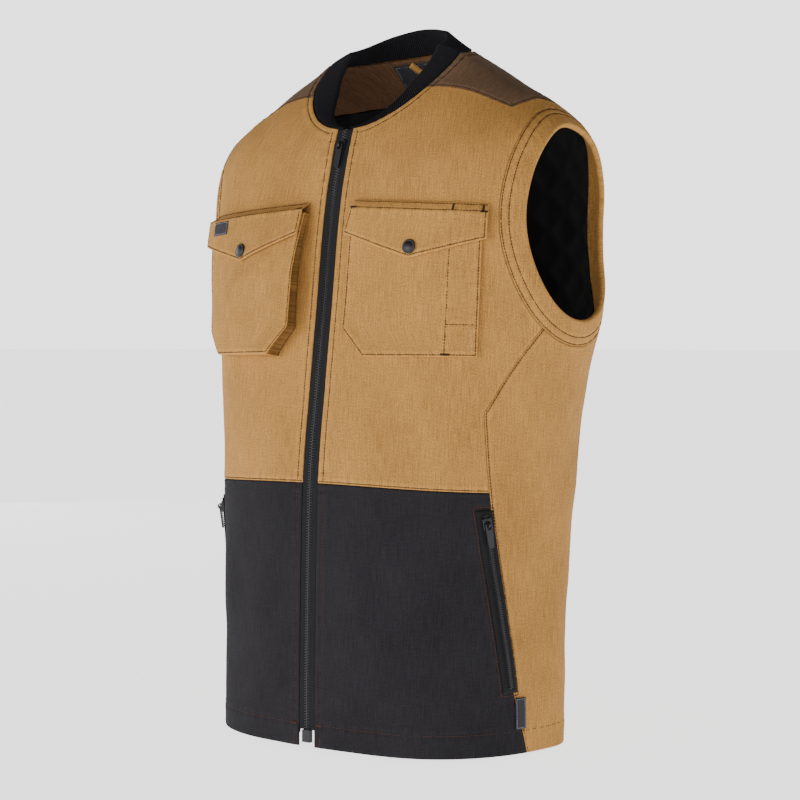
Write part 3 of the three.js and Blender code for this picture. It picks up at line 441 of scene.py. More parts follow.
def back_panel_grid():
    left = route(back_seam, band_seam(BACK_SEAM_START, ARMHOLE_TOP), line(band_point(ARMHOLE_TOP), YOKE_RIDGE, 8))
    rows = spaced(path_length(left), BACK_ROW_CELL)
    left = resampled(left, rows)
    half = route(back_yoke_end, back_yoke_seam)
    neck = line(YOKE_BACK_NECK, (2 * math.pi - YOKE_BACK_NECK[0], NECK), 40)
    top = route(half, neck, mirrored_back(half)[::-1])
    columns = spaced(PANEL_WIDTHS["back"], BACK_COLUMN_CELL)
    bottom = line(BACK_HEM, (2 * math.pi - BACK_HEM[0], 0), shares=columns)
    return fill(bottom, resampled(top, columns), left, mirrored_back(left))


def yoke_grid():
    columns = spaced(PANEL_WIDTHS["yoke"], FINE_CELL)
    outer = resampled(route(front_yoke_end, back_yoke_end), columns)
    neck = line(YOKE_FRONT_NECK, YOKE_BACK_NECK, shares=columns)
    rows = spaced(path_length(front_yoke_seam), FINE_CELL)
    return fill(outer, neck, resampled(front_yoke_seam[::-1], rows), resampled(back_yoke_seam, rows))


def lining_front_grid():
    side = tuple(band_point(ARMHOLE_BOTTOM))
    right = route(line((side[0], LINING_LOW), side, 60),
                  band_seam(ARMHOLE_BOTTOM, ARMHOLE_STEPS + ARMHOLE_TOP, 2),
                  line(band_point(ARMHOLE_TOP), FACING_CORNER, 8), line(FACING_CORNER, (92 * DEG, NECK), 10))
    rows = spaced(path_length(right), LINING_CELL)
    right = resampled(right, rows)
    left = upright(ZIP_HALF_OPENING + LINING_SET_BACK, LINING_LOW, NECK, rows)
    columns = spaced(PANEL_WIDTHS["lining_front"], LINING_CELL)
    return fill(line(left[0], right[0], shares=columns), line(left[-1], right[-1], shares=columns), left, right)


def lining_back_grid():
    side = tuple(band_point(ARMHOLE_BOTTOM))
    left = route(line((side[0], LINING_LOW), side, 60), band_seam(ARMHOLE_BOTTOM, ARMHOLE_TOP, 2),
                 line(band_point(ARMHOLE_TOP), FACING_CORNER, 8))
    rows = spaced(path_length(left), LINING_CELL)
    left = resampled(left, rows)
    columns = spaced(PANEL_WIDTHS["back"], LINING_CELL)

    def across(start):
        return line(start, (2 * math.pi - start[0], start[1]), shares=columns)

    return fill(across(left[0]), across(FACING_CORNER), left, mirrored_back(left))


def facing_grid():
    theta = FACING_CORNER[0] + (2 * math.pi - 2 * FACING_CORNER[0]) * spaced(330, coarse=4)
    level = FACING_LEVEL + (NECK - FACING_LEVEL) * spaced(52, coarse=3)
    return np.stack(np.meshgrid(theta, level), -1)


# Meshes

def new_object(name, points, faces, attributes=None):
    """A mesh object from points in millimetres."""
    mesh = bpy.data.meshes.new(name)
    sizes = np.array([len(f) for f in faces]) if isinstance(faces, list) else np.full(len(faces), faces.shape[1])
    flat = np.concatenate([np.asarray(f) for f in faces]) if isinstance(faces, list) else faces.ravel()
    mesh.vertices.add(len(points))
    mesh.vertices.foreach_set("co", (np.asarray(points, float) * MM).ravel())
    mesh.loops.add(len(flat))
    mesh.loops.foreach_set("vertex_index", flat.astype(np.int32))
    mesh.polygons.add(len(sizes))
    mesh.polygons.foreach_set("loop_start", np.concatenate([[0], np.cumsum(sizes)[:-1]]).astype(np.int32))
    mesh.polygons.foreach_set("use_smooth", np.ones(len(sizes), bool))
    mesh.update(calc_edges=True)
    mesh.validate()
    for key, values in (attributes or {}).items():
        kind = "FLOAT_VECTOR" if values.ndim == 2 else "FLOAT"
        field = "vector" if values.ndim == 2 else "value"
        mesh.attributes.new(key, kind, "POINT").data.foreach_set(field, values.astype(np.float32).ravel())
    obj = bpy.data.objects.new(name, mesh)
    bpy.context.scene.collection.objects.link(obj)
    return obj


def stack_faces(rings, count):
    """Quads between a stack of rings, and the two caps."""
    quads = [[k * count + j, k * count + (j + 1) % count, (k + 1) * count + (j + 1) % count, (k + 1) * count + j]
             for k in range(rings - 1) for j in range(count)]
    return quads, [list(range(count))[::-1], [(rings - 1) * count + j for j in range(count)]]


def volume(points, faces):
    a, b, c = points[faces[:, 0]], points[faces[:, 1]], points[faces[:, 2]]
    d = points[faces[:, 3]]
    return ((a * np.cross(b, c)).sum() + (a * np.cross(c, d)).sum()) / 6


def slab_faces(rows, cols, wrap=False):
    """Quads of a closed slab: outer points row by row, then inner points."""
    count = rows * cols
    j = np.arange(cols if wrap else cols - 1)
    i = np.arange(rows - 1)
    ii, jj = np.meshgrid(i, j, indexing="ij")
    next_j = (jj + 1) % cols
    outer = np.stack([ii * cols + jj, ii * cols + next_j, (ii + 1) * cols + next_j, (ii + 1) * cols + jj], -1)
    outer = outer.reshape(-1, 4)
    inner = outer[:, ::-1] + count

    def rim(a, b):
        return np.stack([b, a, a + count, b + count], -1)

    turn = (j + 1) % cols
    last = (rows - 1) * cols
    sides = [rim(j, turn), rim(last + turn, last + j)]
    if not wrap:
        sides += [rim((i + 1) * cols, i * cols), rim(i * cols + cols - 1, (i + 1) * cols + cols - 1)]
    return np.vstack([outer, inner] + sides)


def slab(name, outer, inner, attributes, wrap=False):
    """A closed cloth sheet from two grids of points."""
    rows, cols = outer.shape[:2]
    points = np.vstack([outer.reshape(-1, 3), inner.reshape(-1, 3)])
    faces = slab_faces(rows, cols, wrap)
    if volume(points, faces) < 0:
        faces = faces[:, ::-1]
    doubled = {key: np.concatenate([values.reshape((rows * cols,) + values.shape[2:])] * 2)
               for key, values in attributes.items()}
    return new_object(name, points, faces, doubled)


# Lines of stitching. Each is a row of points on the cloth with the cloth's normals.

BROWN_THREAD = "brown"
RUST_THREAD = "rust"
BORDER_THREAD = "border"
STITCH_SAMPLE = 0.5
RUST_STITCH = {"length": 2.3, "radius": 0.36}
SHELL_BARTACK = {"pitch": 0.8, "length": 2.2, "radius": 0.45}
POCKET_BARTACK = {"pitch": 0.8, "length": 2.4, "radius": 0.5}
stitch_lines = []


def sew(thread, points, normals, where="shell", pitch=3.1, length=2.85, radius=0.49):
    along = distance_along(points)
    at = np.linspace(0, along[-1], max(int(along[-1] / STITCH_SAMPLE), 2) + 1)
    stitch_lines.append({"thread": thread, "at": at, "points": interpolated(at, along, points),
                         "normals": unit(interpolated(at, along, normals)), "where": where, "pitch": pitch,
                         "length": length, "radius": radius})


def sew_on_skin(thread, path, side=1, **more):
    if thread == RUST_THREAD:
        more = {**RUST_STITCH, **more}
    fine = resampled(path, np.linspace(0, 1, max(int(path_length(path) / 2), 8)))
    theta, level = side * fine[:, 0], fine[:, 1]
    sew(thread, skin(theta, level), normal(theta, level), **more)


def sew_over(thread, surface, side, a, b, reach=(0.5, 0.5), **more):
    """Sews through places of surface(a, b), whose normals come from places a reach away."""
    over = surface(a + reach[0], b) - surface(a - reach[0], b)
    up = surface(a, b - reach[1]) - surface(a, b + reach[1])
    sew(thread, surface(a, b), side * unit(np.cross(over, up)), **more)


def moved_line(path, distance):
    """An open line of (theta, level) moved sideways over the surface: positive is to the left of its way."""
    theta, level = stepped_aside(*path.T, lambda points: np.gradient(points, axis=0), distance)
    return np.stack([theta, np.clip(level, 0, NECK)], -1)


ZIP_STITCH_X = 16.5
COLLAR_STITCH = 6.5
HEM_DEPTH = 24
SEAM_STITCH = 1.9
INNER_BAND_STITCH = 17.5
OUTER_BAND_STITCH = 25


def hem_level(theta):
    """The level HEM_DEPTH above the hem."""
    step = np.linalg.norm(smooth(theta, 1.0) - smooth(theta, 0.0), axis=-1)
    return HEM_DEPTH / step


def neck_level(theta, distance):
    """The level a distance below the neck seam."""
    step = np.linalg.norm(smooth(theta, NECK - 0.1) - smooth(theta, float(NECK)), axis=-1) / 0.1
    return NECK - distance / step


def hem_row(start, stop, count):
    theta = np.linspace(start, stop, count)
    return np.stack([theta, hem_level(theta)], -1)


def plan_shell_stitches():
    inset = 0.02
    hem_corner = float(theta_at_x(ZIP_STITCH_X, 0.2))
    hem_start = float(theta_at_x(ZIP_HALF_OPENING + 1, 0.2))
    hem_change = SIDE_HEM[0] - 0.03
    collar = np.linspace(theta_at_x(ZIP_STITCH_X, NECK), math.pi, 90)
    waist = line((float(theta_at_x(ZIP_HALF_OPENING + 1, WAIST)), WAIST), SIDE_WAIST, 60)
    rings = [moved_out(ARMHOLE, distance) for distance in (INNER_BAND_STITCH, OUTER_BAND_STITCH)]
    rows = [
        (RUST_THREAD, upright(ZIP_STITCH_X, inset, WAIST - inset, np.linspace(0, 1, 60)), {}),
        (BROWN_THREAD, upright(ZIP_STITCH_X, WAIST + inset, NECK - 0.1, np.linspace(0, 1, 120)), {}),
        (BROWN_THREAD, np.stack([collar, neck_level(collar, COLLAR_STITCH)], -1), {}),
        (BROWN_THREAD, moved_line(route(front_yoke_seam, front_yoke_end), SEAM_STITCH), {}),
        (BROWN_THREAD, moved_line(route(back_yoke_end, back_yoke_seam), SEAM_STITCH), {}),
        *((BROWN_THREAD, np.vstack([ring, ring[:1]]), {}) for ring in rings),
        (BROWN_THREAD, moved_line(route(side_seam_lower, side_seam_upper), -SEAM_STITCH), {}),
        (BROWN_THREAD, moved_line(back_seam, -SEAM_STITCH), {}),
        (BROWN_THREAD, moved_line(waist, SEAM_STITCH), {}),
        (RUST_THREAD, hem_row(hem_start, hem_change, 60), {}),
        (BROWN_THREAD, hem_row(hem_change, math.pi, 90), {}),
        (RUST_THREAD, line((hem_corner, inset), (hem_corner, 0.1), 11), SHELL_BARTACK),
        (RUST_THREAD, hem_row(hem_corner - 0.016, hem_corner + 0.016, 8), SHELL_BARTACK),
    ]
    for side in SIDE_OF.values():
        for thread, path, more in rows:
            sew_on_skin(thread, path, side, **more)
        side_zip_box(side)


# Side pocket zips

SIDE_ZIP_TOP = (189, 459)
SIDE_ZIP_BOTTOM = (222, 640)
SIDE_ZIP_LENGTH = SIDE_ZIP_BOTTOM[1] - SIDE_ZIP_TOP[1]
SIDE_STITCH = 10.5
ZIP_BOX_MARGIN = 3


def side_zip_at(side, across, fall, depth=0.0):
    share = np.asarray(fall, float) / SIDE_ZIP_LENGTH
    middle = SIDE_ZIP_TOP[0] + (SIDE_ZIP_BOTTOM[0] - SIDE_ZIP_TOP[0]) * share
    return at_distance(side * (middle + across), -SIDE_ZIP_TOP[1] - np.asarray(fall, float), depth)


def side_zip_box(side):
    low, high = -ZIP_BOX_MARGIN, SIDE_ZIP_LENGTH + ZIP_BOX_MARGIN
    corners = [(-SIDE_STITCH, low), (SIDE_STITCH, low), (SIDE_STITCH, high), (-SIDE_STITCH, high),
               (-SIDE_STITCH, low)]
    for start, stop in zip(corners, corners[1:]):
        run = line(start, stop, 79)
        sew_over(RUST_THREAD, lambda across, fall: side_zip_at(side, across, fall), side, run[:, 0], run[:, 1])


# Chest pockets and flaps

FLAP_INSET, FLAP_DROP, FLAP_SLOPE, FLAP_WIDTH = 26, 154, 8, 154
FLAP_SIDE, FLAP_POINT, FLAP_THICKNESS = 34, 56, 2.2
FLAP_FLARE = {"left": 8, "right": 2}
FLAP_MARGIN = 3
POINT_SHARE = 0.52
POCKET_INSET, POCKET_DROP, POCKET_WIDTH, POCKET_HEIGHT = 28, 166, 147, 144
POCKET_CUT, POCKET_CLOTH = 28, 1.4
PATCH_DEPTH, BELLOWS_MOUTH, BELLOWS_DEPTH, BELLOWS_SIDE, BELLOWS_FALL = 3, 9, 20, 10, 62
FLAP_LIFT = POCKET_DROP - FLAP_DROP - FLAP_MARGIN
SNAP_DROP = 199
POCKET_STITCH, SLOT_SHARE, SLOT_FALL = 2.2, 0.785, 111
FLAP_STITCH, FLAP_TOP_STITCHES = 2.6, (1.4, 7.8)


def pocket_depth(hand, fall, across):
    if hand == "left":
        return PATCH_DEPTH + 0 * fall
    share = np.clip(fall / BELLOWS_FALL, 0, 1)
    full = BELLOWS_DEPTH + (BELLOWS_SIDE - BELLOWS_DEPTH) * across
    return BELLOWS_MOUTH + (full - BELLOWS_MOUTH) * share


def pocket_at(hand, share, fall, depth, tuck=0.0):
    """A place on a pocket: share across it from the zip side, fall from its mouth, depth off the shell."""
    side = SIDE_OF[hand]
    cut = np.clip((fall - (POCKET_HEIGHT - POCKET_CUT)) / POCKET_CUT, 0, 1)
    outer_cut = POCKET_CUT if hand == "right" else 0
    near = POCKET_INSET + cut * POCKET_CUT + tuck
    far = POCKET_INSET + POCKET_WIDTH - cut * outer_cut - tuck
    slope = FLAP_SLOPE * share * (POCKET_HEIGHT - fall) / POCKET_HEIGHT
    return at_distance(side * (near + (far - near) * share), -POCKET_DROP - fall - slope, depth)


def pocket_sag(hand, share, fall):
    """Soft unevenness of a pocket's face, nothing at its edges."""
    edge = np.sin(math.pi * np.clip(share, 0, 1)) * np.sin(math.pi * np.clip(fall / POCKET_HEIGHT, 0, 1)) ** 0.7
    if hand == "left":
        wave = 0.9 + 0.35 * np.sin(6 * share + 0.02 * fall) + 0.25 * np.sin(0.09 * fall + 9 * share)
    else:
        wave = 1.8 + 0.8 * np.sin(5 * share + 0.03 * fall + 1) + 0.5 * np.sin(0.08 * fall - 7 * share)
    return edge * wave


def pocket_face(hand, share, fall):
    reach = LAY_GAP + pocket_depth(hand, fall, share) + pocket_sag(hand, share, fall)
    return pocket_at(hand, share, fall, reach)


def flap_height(share):
    to_point = np.where(share < POINT_SHARE, share / POINT_SHARE, (1 - share) / (1 - POINT_SHARE))
    return FLAP_SIDE + (FLAP_POINT - FLAP_SIDE) * to_point


def flap_depth(hand, fall, across):
    under = pocket_depth(hand, fall - (POCKET_DROP - FLAP_DROP), across) + pocket_sag(
        hand, across, np.maximum(fall - (POCKET_DROP - FLAP_DROP), 0))
    over = LAY_GAP + under + LAY_GAP
    rise = np.clip(fall / FLAP_LIFT, 0, 1)
    return LAY_GAP + (over - LAY_GAP) * rise * rise * (3 - 2 * rise) ** 0.5


def flap_at(hand, share, fall, rise=0.0):
    side = SIDE_OF[hand]
    near = FLAP_INSET + 5 - FLAP_FLARE[hand] * fall / FLAP_SIDE
    distance = near + (FLAP_INSET + FLAP_WIDTH - near) * share
    curl = 1.6 * np.clip(fall / FLAP_POINT, 0, 1) ** 2 * (1 + np.cos(2 * math.pi * share) * 0.6)
    return at_distance(side * distance, -FLAP_DROP - FLAP_SLOPE * share - fall,
                       flap_depth(hand, fall, share) + curl + rise)


def spread(corners, step=2.0, sizes=(1, 1)):
    """Points along a line through corners, at about a step apart."""
    runs = []
    for start, stop in zip(corners, corners[1:]):
        start, stop = np.array(start, float), np.array(stop, float)
        length = np.linalg.norm((stop - start) * np.array(sizes))
        runs.append(start + (stop - start) * np.linspace(0, 1, max(int(length / step), 2) + 1)[:, None])
    return route(*runs)


def plan_pocket_stitches(hand):
    def row(corners, step=2.0, upright_from=None, **more):
        path = spread(corners, step, sizes=(POCKET_WIDTH, 1))
        share, fall = path.T
        if upright_from:
            cut = np.clip((fall - upright_from) / POCKET_CUT, 0, 1) * POCKET_CUT
            share = (share * POCKET_WIDTH - cut) / (POCKET_WIDTH - cut)
        sew_over(BROWN_THREAD, lambda a, b: pocket_face(hand, a, b), SIDE_OF[hand], share, fall, (0.01, 1),
                 where="pocket_" + hand, **more)

    inset = POCKET_STITCH / POCKET_WIDTH
    bottom = POCKET_HEIGHT - POCKET_STITCH
    row([(inset, 18), (inset, bottom), (1 - inset, bottom), (1 - inset, 12)])
    if hand == "left":
        row([(SLOT_SHARE, 12), (SLOT_SHARE, bottom)], upright_from=POCKET_HEIGHT - POCKET_CUT)
        row([(SLOT_SHARE, SLOT_FALL), (1 - inset, SLOT_FALL)])
        row([(SLOT_SHARE - 0.075, bottom - 0.4), (SLOT_SHARE + 0.005, bottom - 0.4)], 0.5, **POCKET_BARTACK)


def plan_flap_stitches(hand):
    def row(corners, step=2.0, **more):
        share, fall = spread(corners, step, sizes=(FLAP_WIDTH, 1)).T
        sew_over(BROWN_THREAD, lambda a, b: flap_at(hand, a, b, FLAP_THICKNESS), SIDE_OF[hand], share, fall,
                 (0.005, 0.5), where="flap_" + hand, **more)

    end = 0.004
    upper, lower = FLAP_TOP_STITCHES
    for fall in (upper, lower):
        row([(end, fall), (1 - end, fall)])
    inset = FLAP_STITCH / FLAP_WIDTH
    row([(inset, 8), (inset, FLAP_SIDE - 1.4), (POINT_SHARE, FLAP_POINT - 2.8), (1 - inset, FLAP_SIDE - 1.4),
         (1 - inset, 8)])
    bars = [((end, lower), (0.05, lower)), ((0.95, 8.2), (1 - end, 8.2)), ((0.965, 1.2), (0.965, 8))]
    if hand == "left":
        bars.append(((0.765, 1), (0.765, 8.4)))
    for bar in bars:
        row(bar, 0.5, **POCKET_BARTACK)


# Relief near stitching and seams

def seam_points():
    """Points along every seam of the shell, on both sides."""
    ring = np.vstack([BAND_SEAM, BAND_SEAM[:1]])
    waist = line((float(theta_at_x(ZIP_HALF_OPENING, WAIST)), WAIST), SIDE_WAIST, 60)
    paths = (side_seam_lower, side_seam_upper, back_seam, front_yoke_seam, front_yoke_end, back_yoke_end,
             back_yoke_seam, ring, waist)
    fine = [resampled(path, np.linspace(0, 1, max(int(path_length(path)), 8))) for path in paths]
    return np.vstack([smooth(side * path[:, 0], path[:, 1]) for side in (1, -1) for path in fine])


def tree_of(points):
    tree = kdtree.KDTree(len(points))
    for k, point in enumerate(points):
        tree.insert(point, k)
    tree.balance()
    return tree


def nearest(tree, points):
    """The number of the nearest point of a tree, and how far off it is."""
    found = np.array([tree.find(p)[1:] for p in points.reshape(-1, 3)]).reshape(points.shape[:-1] + (2,))
    return found[..., 0].astype(int), found[..., 1]


class Relief:
    """How stitches pull the cloth in and pucker it, from the distance to the nearest stitch of a surface."""

    def __init__(self, where):
        lines = [one for one in stitch_lines if one["where"] == where]
        self.points = np.vstack([one["points"][::2] for one in lines])
        self.along = np.concatenate([one["at"][::2] + 37.0 * k for k, one in enumerate(lines)])
        self.tree = tree_of(self.points)

    def at(self, points):
        index, away = nearest(self.tree, points)
        along = self.along[index]
        dent = -0.42 * np.exp(-(away / 1.2) ** 2) * (0.75 + 0.25 * np.cos(2 * math.pi * along / 3.3))
        swell = 0.3 * np.exp(-((away - 3.2) / 2.2) ** 2)
        wave = np.sin(along * 0.52 + 1.7 * np.sin(along * 0.071)) * 0.6 + np.sin(along * 0.9 + 2) * 0.4
        pucker = 0.42 * np.exp(-(away / 6) ** 2) * wave
        wear_and_painted_shade = np.exp(-((away - 2.4) / 2.6) ** 2) * (0.6 + 0.4 * wave)
        return dent + swell + pucker, wear_and_painted_shade


def cloth_places(points, side, kind):
    """Where points lie on the flat cloth, in millimetres. A side of 0 is for cloth that reaches across the back."""
    across, up = GRAIN[kind]
    x, y, z = np.moveaxis(points, -1, 0)
    turn = side if side else np.clip(x / 120, -1, 1)
    return np.stack([x * across[0] + y * across[1] * turn, y * up[0] + z * up[1], 0 * x], -1)


def edge_drop(shape, drop):
    """A drop at the outer rows and columns that rounds a sheet's edges."""
    total = np.zeros(shape)
    for k, share in ((1, 0.35), (0, 1.0)):
        total[[k, -1 - k], :] = np.maximum(total[[k, -1 - k], :], share)
        total[:, [k, -1 - k]] = np.maximum(total[:, [k, -1 - k]], share)
    return -drop * total


def pulled_in(points, amount, wrap=False):
    """Moves a grid's border points towards their neighbours, so that panels keep a small gap."""
    moved = points.copy()
    moved[0] += unit(points[1] - points[0]) * amount
    moved[-1] += unit(points[-2] - points[-1]) * amount
    if not wrap:
        moved[:, 0] += unit(points[:, 1] - points[:, 0]) * amount
        moved[:, -1] += unit(points[:, -2] - points[:, -1]) * amount
    return moved


SEAM_GROOVE, SEAM_GROOVE_REACH = 0.5, 1.3
PANEL_GAP, BAND_GAP, LINING_GAP = 0.2, 0.3, 0.4
BAND_CELL = 1.4
BAND_ROUNDING = 3.1


def seam_groove(away):
    return -SEAM_GROOVE * np.exp(-(away / SEAM_GROOVE_REACH) ** 2)


def hem_roll(grid):
    """The hem is folded double, so the shell stands out a little below the hem stitches."""
    theta, level = grid[..., 0], grid[..., 1]
    share = level / hem_level(theta)
    return 0.55 * np.clip((1 - share) * 6, 0, 1) * (share < 1)


# Which way each panel's grain runs: shares of x and y across the cloth, and of y and z up it
GRAIN = {
    "front_upper": ((1, 0.45), (0.5, 1)),
    "front_lower": ((1, 0.45), (0, 1)),
    "side_panel": ((0.4, 1), (0, 1)),
    "shoulder_yoke": ((1, 0), (1, 0.6)),
    "back": ((1, 0.3), (-0.8, 1)),
    "armhole_band": ((0.3, 1), (0, 1)),
    "lining": ((1, 0.6), (0, 1)),
    "facing": ((1, 0.3), (0.4, 1)),
}


def shell_panel(node, grid, side):
    """A shell panel with its grooves at seams, dents at stitches and folded hem."""
    kind = node.rsplit("_", 1)[0]
    theta, level = side * grid[..., 0], grid[..., 1]
    base = smooth(theta, level)
    bumps, wear_and_painted_shade = shell_relief.at(skin(theta, level))
    _, seam_away = nearest(seam_tree, base)
    rise = bumps + seam_groove(seam_away) + hem_roll(grid) + edge_drop(grid.shape[:2], 0.35)
    outer = pulled_in(skin(theta, level, rise), PANEL_GAP)
    inner = pulled_in(skin(theta, level, 0 * theta - CANVAS), PANEL_GAP)
    marks = {"cloth": cloth_places(base, 0 if kind == "back" else side, kind),
             "wear_and_painted_shade": np.maximum(wear_and_painted_shade, np.exp(-(seam_away / 3) ** 2) * 0.7)}
    return slab(node + "_cloth", outer, inner, marks)


def band_grid():
    return ARMHOLE + (BAND_SEAM - ARMHOLE) * spaced(BAND_WIDTH, BAND_CELL)[:, None, None]


# Materials

def node_tree(name):
    material = bpy.data.materials.new(name)
    material.use_nodes = True
    tree = material.node_tree
    shader = tree.nodes["Principled BSDF"]
    return material, tree, shader


def feed(tree, socket, value):
    """Sets a socket to a constant, or links another node's output to it."""
    if isinstance(value, (int, float, tuple)):
        socket.default_value = value
    else:
        tree.links.new(value, socket)


def new_node(tree, kind, inputs, output=0, **settings):
    node = tree.nodes.new("ShaderNode" + kind)
    for key, value in settings.items():
        setattr(node, key, value)
    for key, value in inputs.items():
        feed(tree, node.inputs[key], value)
    return node.outputs[output]


def math_node(tree, operation, a, b=None):
    return new_node(tree, "Math", {0: a} if b is None else {0: a, 1: b}, operation=operation)


def plus(tree, total, *others):
    for other in others:
        total = math_node(tree, "ADD", total, other)
    return total


def times(tree, a, b):
    return math_node(tree, "MULTIPLY", a, b)


def noise(tree, vector, scale=1.0, detail=2.0, roughness=0.5):
    inputs = {"Scale": scale, "Detail": detail, "Roughness": roughness, "Vector": vector}
    return new_node(tree, "TexNoise", inputs, "Fac")


def scaled(tree, vector, scale):
    return new_node(tree, "VectorMath", {0: vector, 1: scale}, operation="MULTIPLY")


def attribute(tree, name, output):
    return new_node(tree, "Attribute", {}, output, attribute_name=name)


def tinted(tree, shader, colour, tone, darkest):
    """Links a colour, lightened and darkened by a tone about 1, to a shader."""
    inputs = {"Factor": 1.0, "A": shade(colour, 1), "B": math_node(tree, "MAXIMUM", tone, darkest)}
    base = new_node(tree, "Mix", inputs, "Result", data_type="RGBA", blend_type="MULTIPLY", clamp_factor=True)
    feed(tree, shader.inputs["Base Color"], base)


def set_shader(shader, **values):
    for key, value in values.items():
        shader.inputs[key.replace("_", " ")].default_value = value


def bump(tree, shader, height, strength, distance):
    inputs = {"Strength": strength, "Distance": distance, "Height": height}
    feed(tree, shader.inputs["Normal"], new_node(tree, "Bump", inputs, "Normal"))


def shade(colour, factor):
    return tuple(min(c * factor, 1) for c in colour) + (1,)


def spread_about(tree, value, strength):
    """A noise value made into a factor about zero."""
    return times(tree, math_node(tree, "SUBTRACT", value, 0.5), strength)


THREAD_PITCH = 0.62
RIB_PITCH = 2.6
LOOP_PITCH = 1.3

# Noise for canvas: its scale across and up the cloth, per millimetre, its detail and its roughness
CANVAS_NOISE = {
    "mottle": (0.016, 0.011, 3, 0.5),
    "warp": (0.75, 0.045, 2, 0.6),
    "weft": (0.06, 0.8, 2, 0.6),
    "speckle": (0.9, 0.62, 1, 0.6),
}


def waves(tree, value, pitch, kind):
    return math_node(tree, kind, times(tree, value, 2 * math.pi / pitch))


def split_place(tree, place):
    node = tree.nodes.new("ShaderNodeSeparateXYZ")
    feed(tree, node.inputs[0], place)
    return node.outputs


def canvas_material(name, colour, mottle=0.5, slub=1.0, speckle=1.25, wear_and_painted_shade=0.16, sheen=0.08, roughness=0.88,
                    specular=0.16, weave=0.4):
    """Brushed cotton canvas: crossing threads, slubs both ways, soft mottling, edges worn lighter, and painted shade
    where the attribute that lightens worn edges goes negative.
    """
    material, tree, shader = node_tree(name)
    place = attribute(tree, "cloth", "Vector")
    soft, warp, weft, speck = (noise(tree, scaled(tree, place, (across, up, 1)), 1.0, detail, rough)
                               for across, up, detail, rough in CANVAS_NOISE.values())
    grain = plus(tree, warp, weft)
    spreads = ((soft, mottle), (warp, slub), (weft, slub * 0.5), (speck, speckle))
    # The same attribute lightens worn edges and, where negative on the pocket gusset, darkens it as painted shade
    rub_and_painted_shade = times(tree, attribute(tree, "wear_and_painted_shade", "Fac"), wear_and_painted_shade)
    tone = plus(tree, *(spread_about(tree, value, strength) for value, strength in spreads), rub_and_painted_shade, 1.0)
    tinted(tree, shader, colour, tone, 0.3)
    set_shader(shader, Roughness=roughness, Specular_IOR_Level=specular, Sheen_Weight=sheen, Sheen_Roughness=0.5,
               Sheen_Tint=shade(colour, 2))
    across, up, _ = split_place(tree, place)
    threads = times(tree, waves(tree, across, THREAD_PITCH, "SINE"), waves(tree, up, THREAD_PITCH, "SINE"))
    bump(tree, shader, plus(tree, times(tree, threads, 0.5), times(tree, grain, 1.2)), weave, 0.0004)
    return material


def rib_material(name, colour):
    """Rib knit: upright ribs, coloured darker in their grooves and lighter on their tops as painted shade, crossed by
    small loops.
    """
    material, tree, shader = node_tree(name)
    place = attribute(tree, "cloth", "Vector")
    across, up, _ = split_place(tree, place)
    speck = noise(tree, scaled(tree, place, (0.8, 0.5, 1)))
    # Painted shade: the tone follows the collar's rib ridges, darker in the grooves and lighter on the tops
    ribs = times(tree, waves(tree, across, RIB_PITCH, "COSINE"), 0.4)
    tinted(tree, shader, colour, plus(tree, ribs, spread_about(tree, speck, 0.8), 1.0), 0.2)
    set_shader(shader, Roughness=0.95, Specular_IOR_Level=0.06, Sheen_Weight=0.02)
    bump(tree, shader, plus(tree, times(tree, waves(tree, up, LOOP_PITCH, "COSINE"), 0.4), speck), 0.4, 0.0003)
    return material


def plain_material(name, colour, roughness, metallic=0.0, noise_scale=400, strength=0.15, specular=0.5, spread=0.2):
    """An even material with a fine unevenness in its colour and surface."""
    material, tree, shader = node_tree(name)
    soft = noise(tree, tree.nodes.new("ShaderNodeTexCoord").outputs["Object"], noise_scale, 3)
    inputs = {"Factor": soft, "A": shade(colour, 1 - spread), "B": shade(colour, 1 + spread)}
    feed(tree, shader.inputs["Base Color"], new_node(tree, "Mix", inputs, "Result", data_type="RGBA"))
    set_shader(shader, Roughness=roughness, Metallic=metallic, Specular_IOR_Level=specular)
    bump(tree, shader, soft, strength, 0.0002)
    return material


TAN = canvas_material("tan canvas", (0.4, 0.2, 0.052))
BLACK = canvas_material("black canvas", (0.0195, 0.018, 0.0205), mottle=0.5, slub=0.9, speckle=1.0, wear_and_painted_shade=0.2,
                        sheen=0.05, roughness=0.92, specular=0.1)
BROWN = canvas_material("brown canvas", (0.135, 0.079, 0.044))
FACING = canvas_material("facing canvas", (0.125, 0.064, 0.034), sheen=0.03, specular=0.08)
LINING = canvas_material("quilted lining", (0.0045, 0.0045, 0.005), mottle=0.2, slub=0.2, speckle=0.2, wear_and_painted_shade=0.1,
                         sheen=0.0, roughness=0.6, specular=0.12, weave=0.12)
TAPE = canvas_material("zip tape", (0.016, 0.016, 0.0175), mottle=0.2, slub=0.3, speckle=0.5, sheen=0.04,
                       roughness=0.85, specular=0.1, weave=0.5)
RIB = rib_material("rib knit", (0.0115, 0.0105, 0.0125))
METAL = plain_material("gunmetal", (0.02, 0.02, 0.0225), 0.38, metallic=0.6, noise_scale=260, strength=0.05)
TEETH = plain_material("zip teeth", (0.017, 0.017, 0.019), 0.42, noise_scale=500, strength=0.05, specular=0.4)
BROWN_YARN = plain_material("brown thread", (0.034, 0.015, 0.0075), 0.7, noise_scale=2500, strength=0.5,
                            specular=0.2)
RUST_YARN = plain_material("rust thread", (0.075, 0.026, 0.014), 0.7, noise_scale=2500, strength=0.5, specular=0.2)
LABEL = canvas_material("woven label", (0.03, 0.029, 0.037), mottle=0.1, slub=0.3, speckle=0.4, roughness=0.7)
BORDER_YARN = plain_material("label border", (0.3, 0.3, 0.31), 0.7, noise_scale=2500, strength=0.5)
TAB = canvas_material("red tab", (0.42, 0.028, 0.03), mottle=0.1, slub=0.3, speckle=0.4)


